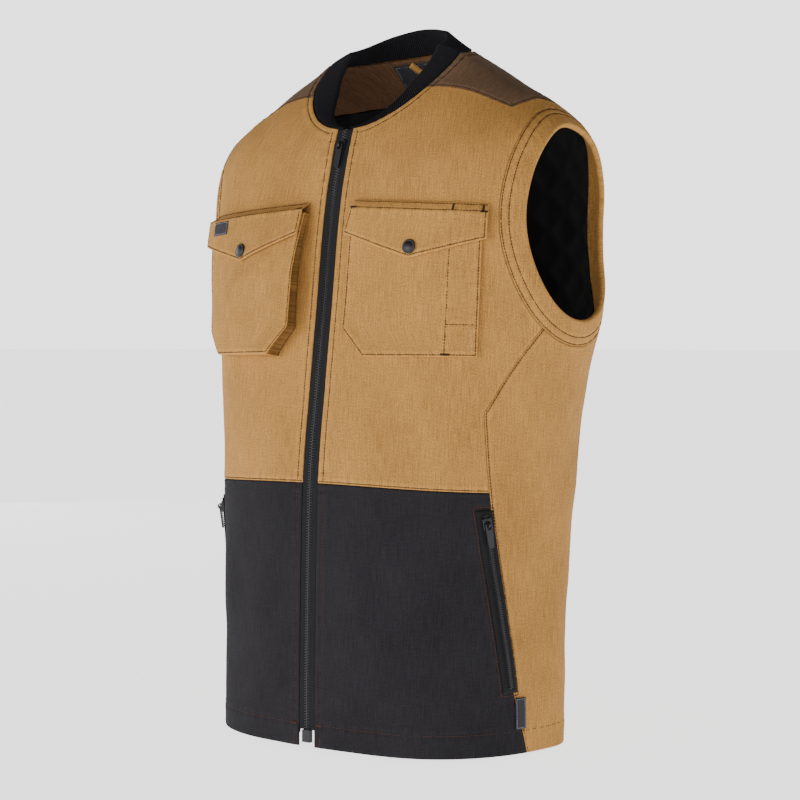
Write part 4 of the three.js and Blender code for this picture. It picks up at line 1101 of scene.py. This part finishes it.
def dress(piece, material, slot, *nodes):
    piece.data.materials.clear()
    piece.data.materials.append(material)
    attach(piece, "vest")
    if nodes:
        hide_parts(*nodes)
    return piece


SMALLEST_AREA_SHARE = 0.32


def grid_area(points):
    over = points[1:, :-1] - points[:-1, :-1]
    along = points[:-1, 1:] - points[:-1, :-1]
    return float(np.linalg.norm(np.cross(over, along), axis=-1).sum())


def flat_size(grid):
    """Width and length of the rectangle that a panel is cut from, and its flat area."""
    points = smooth_at(grid)
    width = float(np.linalg.norm(np.diff(points, axis=1), axis=-1).sum(1).max())
    length = float(np.linalg.norm(np.diff(points, axis=0), axis=-1).sum(0).max())
    area = grid_area(points)
    length = min(length, area / (SMALLEST_AREA_SHARE * width))
    return width, length, min(area, width * length)


# Making the cloth

plan_shell_stitches()
for hand in ("left", "right"):
    plan_pocket_stitches(hand)
    plan_flap_stitches(hand)
shell_relief = Relief("shell")
seam_tree = tree_of(seam_points())


def make_shell():
    panels = [
        ("front_upper", front_upper_grid(), TAN, "tan_canvas"),
        ("front_lower", front_lower_grid(), BLACK, "black_canvas"),
        ("side_panel", side_panel_grid(), TAN, "tan_canvas"),
        ("shoulder_yoke", yoke_grid(), BROWN, "brown_canvas"),
    ]
    for kind, grid, material, slot in panels:
        for hand, side in SIDE_OF.items():
            node = f"{kind}_{hand}"
            piece = shell_panel(node, grid, side)
            dress(piece, material, slot, node)
            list(flat_size(grid))
    grid = back_panel_grid()
    piece = shell_panel("back_panel", grid, 1)
    dress(piece, TAN, "tan_canvas", "back_panel")
    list(flat_size(grid))
    for hand, side in SIDE_OF.items():
        node = f"armhole_band_{hand}"
        piece = make_band(node, side)
        dress(piece, TAN, "tan_canvas", node)
        path_length(BAND_SEAM)
        grid_area(smooth_at(band_grid()))


def make_band(node, side):
    """The band is folded round the armhole's edge, so its section is a rounded loop."""
    grid = band_grid()
    theta, level = side * grid[..., 0], grid[..., 1]
    bumps, wear_and_painted_shade = shell_relief.at(skin(theta, level))
    _, seam_away = nearest(seam_tree, smooth(theta, level))
    edge = np.clip(spaced(BAND_WIDTH, BAND_CELL) * BAND_WIDTH / BAND_ROUNDING, 0, 1)
    round_off = BAND_ROUNDING * (1 - np.sqrt(1 - (1 - edge) ** 2))
    rise = bumps + seam_groove(seam_away) - round_off[:, None]
    outer = skin(theta, level, rise)
    inner = skin(theta, level, LINING_INNER + round_off[:, None] + 0 * theta)
    outer, inner = pulled_in(outer, BAND_GAP, True), pulled_in(inner, BAND_GAP, True)
    marks = {"cloth": cloth_places(smooth(theta, level), side, "armhole_band"), "wear_and_painted_shade": wear_and_painted_shade}
    return slab(node + "_cloth", outer, inner, marks, True)


QUILT_SIZE = 46


def quilting(grid):
    """Puff of the quilted lining: rounded diamonds between crossing rows of stitches."""
    theta, level = grid[..., 0], grid[..., 1]
    across, up = theta * 185, smooth(theta, level)[..., 2] * 1.15
    a, b = (across + up) / QUILT_SIZE, (across - up) / QUILT_SIZE
    away = np.minimum(np.abs(a - np.round(a)), np.abs(b - np.round(b))) * 2
    return (1 - (1 - np.clip(away * 1.5, 0, 1)) ** 2) * (0.9 + 0.1 * np.sin(7 * theta + 3 * level))


def make_lining():
    parts = [("lining_front_left", lining_front_grid(), 1), ("lining_front_right", lining_front_grid(), -1),
             ("lining_back", lining_back_grid(), 1)]
    for node, grid, side in parts:
        theta, level = side * grid[..., 0], grid[..., 1]
        puff = quilting(grid)
        edge = edge_drop(grid.shape[:2], 0.4)
        outer = skin(theta, level, LINING_OUTER + edge)
        inner = skin(theta, level, LINING_INNER + 0.9 - 2.4 * puff - edge)
        outer, inner = pulled_in(outer, LINING_GAP), pulled_in(inner, LINING_GAP)
        marks = {"cloth": cloth_places(smooth(theta, level), 0, "lining"), "wear_and_painted_shade": 0 * theta}
        piece = slab(node + "_quilt", outer, inner, marks)
        dress(piece, LINING, "quilted_lining", node)
        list(flat_size(grid))
    grid = facing_grid()
    theta, level = grid[..., 0], grid[..., 1]
    edge = edge_drop(grid.shape[:2], 0.5)
    marks = {"cloth": cloth_places(smooth(theta, level), 0, "facing"), "wear_and_painted_shade": 0 * theta}
    piece = slab("back_neck_facing_cloth", skin(theta, level, LINING_OUTER + edge),
                 skin(theta, level, LINING_INNER - edge), marks)
    dress(piece, FACING, "brown_canvas", "back_neck_facing")
    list(flat_size(grid))


# Rib collar

COLLAR_HEIGHT, COLLAR_THICKNESS, COLLAR_END, COLLAR_GAP = 30, 4.4, 3, 1.6
COLLAR_FRONT_LEAN, COLLAR_SIDE_LEAN, COLLAR_BACK_LEAN = 50, 68, 36
RIB_HEIGHT, COLLAR_ROWS, COLLAR_SWELL = 0.5, 12, 0.5


def collar_height(theta):
    away = np.clip(np.minimum(theta, 2 * math.pi - theta) / (58 * DEG), 0, 1)
    return COLLAR_END + (COLLAR_HEIGHT - COLLAR_END) * away * away * (3 - 2 * away)


def collar_at(theta, run, depth):
    base = skin(theta, np.full_like(theta, NECK), depth)
    inward = np.stack([-np.sin(theta), np.cos(theta), 0 * theta], -1)
    end_lean = np.where(np.cos(theta) > 0, COLLAR_FRONT_LEAN, COLLAR_BACK_LEAN)
    lean = (COLLAR_SIDE_LEAN + (end_lean - COLLAR_SIDE_LEAN) * np.cos(theta) ** 2) * DEG
    up = np.stack([0 * theta, 0 * theta, np.ones_like(theta)], -1)
    return base + inward * (run * np.sin(lean))[..., None] + up * (run * np.cos(lean))[..., None]


def make_collar():
    start = float(theta_at_x(CHAIN_WIDTH / 2 + 1.5, NECK))
    coarse = np.linspace(start, 2 * math.pi - start, 800)
    along = distance_along(smooth(coarse, float(NECK)))
    count = int(along[-1] / RIB_PITCH) * 6
    at = np.linspace(0, along[-1], count + 1)
    theta = np.interp(at, along, coarse)
    ribs = RIB_HEIGHT * np.cos(2 * math.pi * at / RIB_PITCH)
    half = COLLAR_THICKNESS / 2
    sides = []
    for sign in (1, -1):
        layer = []
        for share in np.linspace(0, 1, COLLAR_ROWS):
            height = collar_height(theta)
            run = COLLAR_GAP + height * share
            from_top = np.clip((height * (1 - share)) / (half * 1.2), 0, 1)
            round_top = half * np.sqrt(1 - (1 - from_top) ** 2)
            swell = COLLAR_SWELL * math.sin(math.pi * share)
            depth = -0.2 - half + sign * (round_top + swell + ribs * from_top)
            layer.append(collar_at(theta, run + 0 * theta, depth))
        sides.append(np.array(layer))
    grid_theta = np.broadcast_to(at, (COLLAR_ROWS, len(at)))
    grid_up = np.broadcast_to(np.linspace(0, COLLAR_HEIGHT, COLLAR_ROWS)[:, None], (COLLAR_ROWS, len(at)))
    marks = {"cloth": np.stack([grid_theta, grid_up, 0 * grid_up], -1), "wear_and_painted_shade": 0 * grid_up}
    piece = slab("collar_ribbing", sides[0], sides[1], marks)
    dress(piece, RIB, "rib_knit", "collar_rib")


# Zips

TOOTH_PROFILE = [(3.1, -0.62), (0.9, -0.5), (0.5, -0.82), (-0.55, -0.7), (-0.75, 0.0), (-0.55, 0.7), (0.5, 0.82),
                 (0.9, 0.5), (3.1, 0.62)]


TAPE_INNER_EDGE = 1.3


def strip(name, surface, widths, falls, outer, inner, material, slot, node):
    across, down = np.meshgrid(widths, falls)
    edge = edge_drop(across.shape, 0.25)
    marks = {"cloth": np.stack([across, down, 0 * across], -1), "wear_and_painted_shade": 0 * across}
    piece = slab(name, surface(across, down, outer + edge), surface(across, down, inner - edge), marks)
    return dress(piece, material, slot, node)


def chain_mesh(name, surface, falls, half_width, thickness, pitch, node):
    """Two rows of interlocking teeth. surface(across, fall, depth) gives places; fall runs down the chain."""
    scale = half_width / 3.1
    profile = np.array(TOOTH_PROFILE) * np.array([scale, pitch / 2.6])
    count = len(profile)
    levels = [(-thickness / 2, 0.82), (-thickness * 0.32, 1.0), (thickness * 0.32, 1.0), (thickness / 2, 0.8)]
    ring = []
    for rise, share in levels:
        middle = profile.mean(0)
        ring.append(np.column_stack([(profile - middle) * share + middle, np.full(count, rise)]))
    tooth = np.vstack(ring)
    quads, caps = stack_faces(len(levels), count)
    points, faces = [], []
    e = 0.4
    for side in (1, -1):
        places = np.arange(falls[0] + (0 if side > 0 else pitch / 2), falls[1], pitch)
        here = surface(0 * places, places, 0 * places)
        over = unit(surface(0 * places + e, places, 0 * places) - here)
        down = unit(surface(0 * places, places + e, 0 * places) - here)
        out = unit(np.cross(down, over))
        out *= np.sign((out * (surface(0 * places, places, 0 * places + 1) - here)).sum(-1, keepdims=True))
        for c, o, d, n in zip(here, over, down, out):
            offset = len(points) * len(tooth)
            points.append(c + tooth[:, :1] * side * o + tooth[:, 1:2] * d + tooth[:, 2:3] * n)
            flip = side * np.sign(np.dot(np.cross(o, d), n)) < 0
            for face in quads + caps:
                ids = [offset + k for k in (face[::-1] if flip else face)]
                faces.append(ids)
    piece = new_object(name, np.vstack(points), faces)
    return dress(piece, TEETH, "dark_metal", node)


def make_front_zip():
    top = -float(section(np.array(float(NECK)))[0])
    foot = -BODY_LENGTH + 17

    def surface(across, fall, depth):
        level = level_line(-top - fall)
        return skin(theta_at_x(across, level), level, depth)

    base_levels = np.linspace(0, NECK, 2000)
    base_z = smooth(0 * base_levels, base_levels)[:, 2]

    def level_line(z):
        return np.interp(z, base_z, base_levels)

    length = -foot - top
    falls = np.linspace(0, length, 260)
    for hand, side in SIDE_OF.items():
        widths = side * np.linspace(TAPE_INNER_EDGE, ZIP_HALF_OPENING - 0.1, 8)
        strip(f"front_zip_tape_{hand}_cloth", surface, widths, falls, -TAPE_DEPTH, -TAPE_DEPTH - TAPE_THICKNESS,
              TAPE, "zip_tape", f"front_zip_tape_{hand}")
    middle = CHAIN_OUTER - CHAIN_THICKNESS / 2

    def chain_surface(across, fall, depth):
        return surface(across, fall, depth + middle)

    chain_mesh("front_zip_teeth", chain_surface, (0.6, length), CHAIN_WIDTH / 2, CHAIN_THICKNESS, 2.7,
               "front_zip_chain")


def make_side_zips():
    falls = np.linspace(0, SIDE_ZIP_LENGTH, 90)
    tape_outer = LAY_GAP + TAPE_THICKNESS
    teeth_middle = tape_outer + 0.3 + 0.9
    for hand, side in SIDE_OF.items():
        def surface(across, fall, depth, side=side):
            return side_zip_at(side, side * across, fall, depth)

        def chain_surface(across, fall, depth, side=side):
            return side_zip_at(side, side * across, fall, depth + teeth_middle)

        strip(f"pocket_zip_tape_{hand}_cloth", surface, np.linspace(-8.5, 8.5, 14), falls, tape_outer, LAY_GAP,
              TAPE, "zip_tape", f"pocket_zip_tape_{hand}")
        chain_mesh(f"pocket_zip_teeth_{hand}", chain_surface, (4.5, SIDE_ZIP_LENGTH - 4.5), 2.5, 1.8, 2.3,
                   f"pocket_zip_chain_{hand}")


# Pockets and flaps

# A pocket's side wall from the shell to its face: share of the depth, distance in from the edge, share of the pleat
POCKET_WALL = [(0.0, 0.0, 0.72), (0.12, 0.0, 0.95), (0.28, 0.0, 1.0), (0.46, 0.0, 1.0), (0.64, 0.0, 0.86),
               (0.8, 0.0, 0.5), (0.9, 0.1, 0.14), (0.97, 0.5, 0.0), (1.0, 1.2, 0.0)]
PLEAT = {"left": (0, 0), "right": (12, 4)}
# Painted shade: how far the tone of the tucked bellows gusset is darkened, standing in for the shadow in the pleat
# under the pocket's face
GUSSET_PAINTED_SHADE = 4.2


def make_pocket(hand):
    columns = spaced(POCKET_WIDTH, coarse=2.8)
    wall = np.array(POCKET_WALL)
    level_part = np.zeros(len(columns) - 4)
    shares = np.concatenate([wall[:, 1] / POCKET_WIDTH, columns[2:-2], 1 - wall[::-1, 1] / POCKET_WIDTH])
    factor = np.concatenate([wall[:, 0], 1 + level_part, wall[::-1, 0]])
    tucked = np.concatenate([wall[:, 2] * PLEAT[hand][0], level_part, wall[::-1, 2] * PLEAT[hand][1]])
    falls = np.concatenate([spaced(POCKET_HEIGHT - 1.2, coarse=2.8) * (POCKET_HEIGHT - 1.2),
                            [POCKET_HEIGHT - 0.5, POCKET_HEIGHT - 0.15, POCKET_HEIGHT, POCKET_HEIGHT]])
    drop = np.concatenate([np.ones(len(falls) - 4), [0.93, 0.7, 0.35, 0.0]])
    share, fall = np.meshgrid(shares, falls)
    keep = np.minimum(*np.meshgrid(factor, drop))
    side = SIDE_OF[hand]
    face = pocket_face(hand, share, fall)
    relief = Relief("pocket_" + hand)
    bumps, wear_and_painted_shade = relief.at(face)
    depth = pocket_depth(hand, fall, share)
    sag = pocket_sag(hand, share, fall)
    pleat = tucked * np.sin(math.pi * np.clip(fall / POCKET_HEIGHT, 0, 1)) ** 0.5
    layers = []
    for tuck in (0.0, POCKET_CLOTH):
        low_fall = np.minimum(fall, POCKET_HEIGHT - tuck)
        reach = LAY_GAP + np.maximum((depth + sag + bumps * (tuck == 0) - tuck), 0) * keep
        layers.append(pocket_at(hand, share, low_fall, reach, tuck + pleat))
    flat = np.stack([share * POCKET_WIDTH * side, -fall, 0 * fall], -1)
    # Rubbed edges and side walls are lighter from wear; the tucked gusset gets negative values, painted shade for the
    # pleat's shadowed recess
    rub_and_painted_shade = np.maximum(wear_and_painted_shade, (keep < 1) * 0.8) - GUSSET_PAINTED_SHADE * np.minimum(tucked / 9, 1)
    piece = slab(f"chest_pocket_{hand}_cloth", layers[0], layers[1], {"cloth": flat, "wear_and_painted_shade": rub_and_painted_shade})
    dress(piece, TAN, "tan_canvas", f"chest_pocket_{hand}")


def make_flap(hand):
    shares = np.concatenate([spaced(FLAP_WIDTH * POINT_SHARE, fine_end=False) * POINT_SHARE,
                             POINT_SHARE + (1 - POINT_SHARE) * spaced(FLAP_WIDTH * 0.48, fine_start=False)[1:]])
    down = spaced(FLAP_POINT, coarse=2.2)
    share, part = np.meshgrid(shares, down)
    fall = part * flap_height(share)
    relief = Relief("flap_" + hand)
    face = flap_at(hand, share, fall, FLAP_THICKNESS)
    bumps, wear_and_painted_shade = relief.at(face)
    edge = edge_drop(share.shape, 0.75)
    outer = flap_at(hand, share, fall, FLAP_THICKNESS + bumps + edge)
    inner = flap_at(hand, share, fall, -edge * 0.8)
    side = SIDE_OF[hand]
    flat = np.stack([share * FLAP_WIDTH * side, -fall, 0 * fall], -1)
    rub_and_painted_shade = np.maximum(wear_and_painted_shade, (edge < -0.2) * 0.9)
    piece = slab(f"chest_flap_{hand}_cloth", outer, inner, {"cloth": flat, "wear_and_painted_shade": rub_and_painted_shade})
    dress(piece, TAN, "tan_canvas", f"chest_flap_{hand}")


def frame_at(point, over, out):
    out = unit(out)
    over = unit(over - out * np.dot(over, out))
    return np.stack([over, np.cross(out, over), out], -1), point


def turned_profile(name, profile, steps, place):
    """A solid of revolution about a place's own z axis."""
    axes, origin = place
    turn = np.arange(steps) / steps * 2 * math.pi
    points, faces = [np.array([0, 0, profile[0][1]])], []
    for radius, height in profile[1:-1]:
        ring = np.stack([radius * np.cos(turn), radius * np.sin(turn), np.full(steps, height)], -1)
        points.append(ring)
    points.append(np.array([0, 0, profile[-1][1]]))
    stacked = np.vstack([np.atleast_2d(p) for p in points])
    rings = len(profile) - 2
    last = len(stacked) - 1
    for j in range(steps):
        n = (j + 1) % steps
        faces.append([0, 1 + n, 1 + j])
        for k in range(rings - 1):
            faces.append([1 + k * steps + j, 1 + k * steps + n, 1 + (k + 1) * steps + n, 1 + (k + 1) * steps + j])
        faces.append([last, 1 + (rings - 1) * steps + j, 1 + (rings - 1) * steps + n])
    return new_object(name, stacked @ axes.T + origin, faces)


SNAP_PROFILE = [(0, 0), (5.5, 0), (6.9, 0.25), (7.3, 0.75), (7.25, 1.3), (6.95, 1.75), (6.5, 2.0), (6.1, 2.02),
                (5.6, 1.9), (5.2, 1.95), (4.6, 2.25), (3.4, 2.62), (1.9, 2.9), (0.8, 2.99), (0, 3.0)]


def make_snap(hand):
    side = SIDE_OF[hand]
    share, fall = np.array(POINT_SHARE), np.array(float(SNAP_DROP - FLAP_DROP))
    rise = FLAP_THICKNESS + 0.4
    here = flap_at(hand, share, fall, rise)
    over = flap_at(hand, share + 0.03 * side, fall, rise) - flap_at(hand, share - 0.03 * side, fall, rise)
    up = flap_at(hand, share, fall - 4, rise) - flap_at(hand, share, fall + 4, rise)
    piece = turned_profile(f"snap_{hand}_cap", SNAP_PROFILE, 48, frame_at(here, over, np.cross(over, up)))
    dress(piece, METAL, "dark_metal", f"snap_{hand}")


# Labels, hanger loop and tags, each finer than its solid

FLAP_LABEL_SHARE, FLAP_LABEL_FALL, FLAP_LABEL_WIDTH, FLAP_LABEL_HEIGHT = 0.79, 18, 25, 14
HEM_TAG_DISTANCE, HEM_TAG_WIDTH, HEM_TAG_HEIGHT, HEM_TAG_RISE = 235, 13, 31, 23
LABEL_THICKNESS, LABEL_GAP = 0.8, 0.8
NECK_LABEL_WIDTH, NECK_LABEL_HEIGHT, NECK_LABEL_DROP = 104, 38, 4
LOOP_WIDTH, LOOP_THICKNESS, LOOP_SPAN, LOOP_SAG, LOOP_LENGTH, NECK_PIECE_DROP = 8, 1.4, 62, 30, 90, 3
SIZE_TAB_WIDTH, SIZE_TAB_HEIGHT, SIZE_TAB_OFFSET = 11, 13, 43


def inside_neck(across, up, depth):
    """Inside the back of the neck: across it from the spine, and up along the cloth from the neck seam."""
    below = np.linalg.norm(smooth(math.pi, NECK - 1.0) - smooth(math.pi, float(NECK)))
    level = NECK + np.asarray(up, float) / below
    return skin(math.pi - theta_at_x(across, level), level, depth)


def patch(node, surface, size, steps, thickness, material, slot, edge=0.22, ripple=0.12):
    """A small sheet. surface(a, b, lift) gives places, with a and b in millimetres from its middle."""
    a, b = np.meshgrid(spaced(size[0], coarse=steps) * size[0] - size[0] / 2,
                       spaced(size[1], coarse=steps) * size[1] - size[1] / 2)
    drop = edge_drop(a.shape, edge)
    wave = ripple * np.sin(a * 0.42 + b * 0.2) * np.sin(b * 0.31 - a * 0.11)
    marks = {"cloth": np.stack([a, b, 0 * a], -1), "wear_and_painted_shade": (drop < 0) * 0.8}
    piece = slab(node + "_weave", surface(a, b, thickness + drop + wave), surface(a, b, wave - drop), marks)
    dress(piece, material, slot, node)


def border(surface, size, inset, lift, **more):
    """Stitches round a small sheet, a little inside its edge."""
    x, y = size[0] / 2 - inset, size[1] / 2 - inset
    edge = spread([(-x, -y), (x, -y), (x, y), (-x, y), (-x, -y)], step=0.5)
    points = surface(edge[:, 0], edge[:, 1], lift)
    normals = unit(surface(edge[:, 0], edge[:, 1], lift + 0.5) - points)
    sew(BORDER_THREAD, points, normals, where="labels", **more)


def make_labels():
    def on_flap(a, b, lift):
        return flap_at("right", FLAP_LABEL_SHARE - a / FLAP_WIDTH, FLAP_LABEL_FALL - b,
                       FLAP_THICKNESS + 0.3 + lift)

    def on_hem(a, b, lift):
        return at_distance(HEM_TAG_DISTANCE + a, HEM_TAG_RISE + HEM_TAG_HEIGHT / 2 - BODY_LENGTH + b,
                           LAY_GAP + lift)

    def on_neck(a, b, lift):
        return inside_neck(a, b - NECK_LABEL_DROP - NECK_LABEL_HEIGHT / 2, LINING_INNER - LABEL_GAP - lift)

    over_label = LINING_INNER - 2 * LABEL_GAP - LABEL_THICKNESS

    def on_loop(a, b, lift):
        share = b / LOOP_SPAN + 0.5
        middle = -NECK_PIECE_DROP - LOOP_SAG * np.sin(math.pi * share)
        slope = -LOOP_SAG * math.pi / LOOP_SPAN * np.cos(math.pi * share)
        length = np.hypot(1, slope)
        return inside_neck(b - slope / length * a, middle + a / length, over_label - lift)

    def on_tab(a, b, lift):
        return inside_neck(SIZE_TAB_OFFSET + a, b - NECK_PIECE_DROP - SIZE_TAB_HEIGHT / 2, over_label - lift)

    flap_size = (FLAP_LABEL_WIDTH, FLAP_LABEL_HEIGHT)
    hem_size = (HEM_TAG_WIDTH, HEM_TAG_HEIGHT)
    neck_size = (NECK_LABEL_WIDTH, NECK_LABEL_HEIGHT)
    tab_size = (SIZE_TAB_WIDTH, SIZE_TAB_HEIGHT)
    patch("flap_label", on_flap, flap_size, 1.6, LABEL_THICKNESS, LABEL, "woven_label")
    patch("hem_tag", on_hem, hem_size, 1.6, LABEL_THICKNESS, LABEL, "woven_label")
    patch("neck_label", on_neck, neck_size, 2.4, LABEL_THICKNESS, LABEL, "woven_label", ripple=0.3)
    patch("hanger_loop", on_loop, (LOOP_WIDTH, LOOP_SPAN), 1.8, LOOP_THICKNESS, TAN, "tan_canvas", edge=0.4)
    patch("size_tab", on_tab, tab_size, 1.4, LABEL_THICKNESS, TAB, "red_tab", ripple=0.2)
    fine = {"pitch": 1.5, "length": 1.3, "radius": 0.22}
    border(on_flap, flap_size, 1.2, LABEL_THICKNESS, **fine)
    border(on_hem, hem_size, 1.3, LABEL_THICKNESS, **fine)
    border(on_neck, neck_size, 2.0, LABEL_THICKNESS, **fine)
    border(on_tab, tab_size, 1.2, LABEL_THICKNESS, **fine)
    for edge in (-LOOP_WIDTH / 2 + 1.3, LOOP_WIDTH / 2 - 1.3):
        along = np.linspace(-LOOP_SPAN / 2 + 1, LOOP_SPAN / 2 - 1, 120)
        points = on_loop(edge + 0 * along, along, LOOP_THICKNESS)
        aim = unit(on_loop(edge + 0 * along, along, LOOP_THICKNESS + 0.5) - points)
        sew(BROWN_THREAD, points, aim, where="labels", pitch=2.6, length=2.2, radius=0.3)


# Stitches

def make_stitches(name, lines, material, slot):
    """Each stitch is a short rounded thread that dips into the cloth at both ends."""
    sections = [(-1.0, 0.3, -0.35), (-0.62, 0.9, 0.05), (0.0, 1.0, 0.16), (0.62, 0.9, 0.05), (1.0, 0.3, -0.35)]
    count = 5
    turn = np.arange(count) / count * 2 * math.pi
    circle = np.stack([np.cos(turn), np.sin(turn)], -1)
    quads, caps = stack_faces(len(sections), count)
    all_points, offset, quad_list, cap_list = [], 0, [], []
    for one in lines:
        at = one["at"]
        places = np.arange(one["pitch"] / 2, at[-1] - one["pitch"] / 4, one["pitch"])
        if not len(places):
            continue
        centre, ahead, behind = (interpolated(places + step, at, one["points"]) for step in (0, 0.6, -0.6))
        out = unit(interpolated(places, at, one["normals"]))
        tangent = unit(ahead - behind)
        tangent = unit(tangent - out * (tangent * out).sum(-1, keepdims=True))
        across = np.cross(out, tangent)
        if one["pitch"] < 1:
            tangent, across = across, tangent
        radius, half = one["radius"], one["length"] / 2
        lift = radius * 0.3 if one["pitch"] < 1 else -0.06
        rings = []
        for along, share, sink in sections:
            middle = centre + tangent * along * half + out * (sink * radius + lift)
            ring = middle[:, None] + radius * share * (across[:, None] * circle[:, :1] + out[:, None] * circle[:, 1:])
            rings.append(ring)
        block = np.stack(rings, 1).reshape(len(places), -1, 3)
        size = block.shape[1]
        starts = offset + np.arange(len(places)) * size
        quad_list.append((np.array(quads)[None] + starts[:, None, None]).reshape(-1, 4))
        cap_list.append((np.array(caps)[None] + starts[:, None, None]).reshape(-1, count))
        all_points.append(block.reshape(-1, 3))
        offset += block.shape[0] * size
    points = np.vstack(all_points)
    quads_all, caps_all = np.vstack(quad_list), np.vstack(cap_list)
    faces = [list(f) for f in quads_all] + [list(f) for f in caps_all]
    piece = new_object(name, points, faces)
    piece.data.flip_normals()
    return dress(piece, material, slot)


def make_all_stitches():
    groups = {
        "stitches_rust": ([s for s in stitch_lines if s["thread"] == RUST_THREAD], RUST_YARN, "black_canvas"),
        "stitches_border": ([s for s in stitch_lines if s["thread"] == BORDER_THREAD], BORDER_YARN, "woven_label"),
        "stitches_pockets": ([s for s in stitch_lines if s["where"] != "shell" and s["thread"] == BROWN_THREAD],
                             BROWN_YARN, "tan_canvas"),
    }
    shell = [s for s in stitch_lines if s["where"] == "shell" and s["thread"] == BROWN_THREAD]
    groups["stitches_front"] = (shell[:len(shell) // 2], BROWN_YARN, "tan_canvas")
    groups["stitches_back"] = (shell[len(shell) // 2:], BROWN_YARN, "tan_canvas")
    for name, (lines, material, slot) in groups.items():
        make_stitches(name, lines, material, slot)


def dress_cad():
    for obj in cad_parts.values():
        if obj.hide_render:
            continue
        soften = obj.modifiers.new("soft edges", "BEVEL")
        soften.width = 0.0003
        soften.segments = 2
        obj.data.materials.clear()
        obj.data.materials.append(METAL)


def placed(name, data, place, target):
    """Adds a camera or light that looks at a target."""
    obj = bpy.data.objects.new(name, data)
    obj.location = place
    obj.rotation_euler = (Vector(target) - Vector(place)).to_track_quat("-Z", "Y").to_euler()
    bpy.context.scene.collection.objects.link(obj)
    return obj


CAMERA_AZIMUTH, CAMERA_DISTANCE, CAMERA_HEIGHT, CAMERA_LENS = 38 * DEG, 2.2, -0.285, 94.1
CAMERA_TARGET = Vector((0, 0.01, -0.357))


def make_camera():
    place = CAMERA_TARGET + Vector((math.sin(CAMERA_AZIMUTH), -math.cos(CAMERA_AZIMUTH), 0)) * CAMERA_DISTANCE
    place.z = CAMERA_HEIGHT
    data = bpy.data.cameras.new("camera")
    data.lens, data.sensor_width = CAMERA_LENS, 36
    data.clip_start, data.clip_end = 0.05, 50
    bpy.context.scene.camera = placed("camera", data, place, CAMERA_TARGET)


def make_light(name, place, size, power):
    data = bpy.data.lights.new(name, "AREA")
    data.shape = "RECTANGLE"
    data.size, data.size_y = size
    data.energy = power
    placed(name, data, place, LIGHT_TARGET)


# Light is strong from around and from the floor, weak from overhead, and weaker from the wearer's left
SIDE_LIGHT, OVERHEAD_LIGHT, LEFT_DIMMING, FLOOR_GLOW = 2.5, 0.1, 0.6, 2.0
FLOOR_REACH, FLOOR_Z = 40000, -706
LIGHT_TARGET = (0, 0, -0.4)


def make_studio():
    world = bpy.data.worlds.new("studio")
    world.use_nodes = True
    tree = world.node_tree
    x, _, z = split_place(tree, tree.nodes.new("ShaderNodeTexCoord").outputs["Generated"])
    ends = {"From Min": 0.14, "From Max": 0.46, "To Min": SIDE_LIGHT, "To Max": OVERHEAD_LIGHT, "Value": z}
    fall = new_node(tree, "MapRange", ends, "Result", interpolation_type="SMOOTHSTEP")
    background = tree.nodes["Background"]
    background.inputs["Color"].default_value = (1, 1, 1, 1)
    left = times(tree, math_node(tree, "MAXIMUM", x, 0.0), LEFT_DIMMING)
    feed(tree, background.inputs["Strength"], times(tree, fall, math_node(tree, "SUBTRACT", 1.0, left)))
    bpy.context.scene.world = world
    make_light("key", (-1.1, -3.1, 0.05), (1.4, 0.6), 26)
    make_light("edge", (-2.6, 1.2, 0.2), (1.2, 1.8), 8)
    corners = [(x * FLOOR_REACH, y * FLOOR_REACH, FLOOR_Z) for x, y in ((-1, -1), (1, -1), (1, 1), (-1, 1))]
    floor = new_object("floor", corners, np.array([[0, 1, 2, 3]]))
    material = plain_material("floor", (0.72, 0.72, 0.72), 1.0, noise_scale=0.6, strength=0.0, spread=0.012,
                              specular=0.0)
    set_shader(material.node_tree.nodes["Principled BSDF"], Emission_Color=(1, 1, 1, 1),
               Emission_Strength=FLOOR_GLOW)
    floor.data.materials.append(material)


make_camera()
make_studio()
make_shell()
make_lining()
make_collar()
make_front_zip()
make_side_zips()
for hand in ("left", "right"):
    make_pocket(hand)
    make_flap(hand)
    make_snap(hand)
make_labels()
make_all_stitches()
dress_cad()
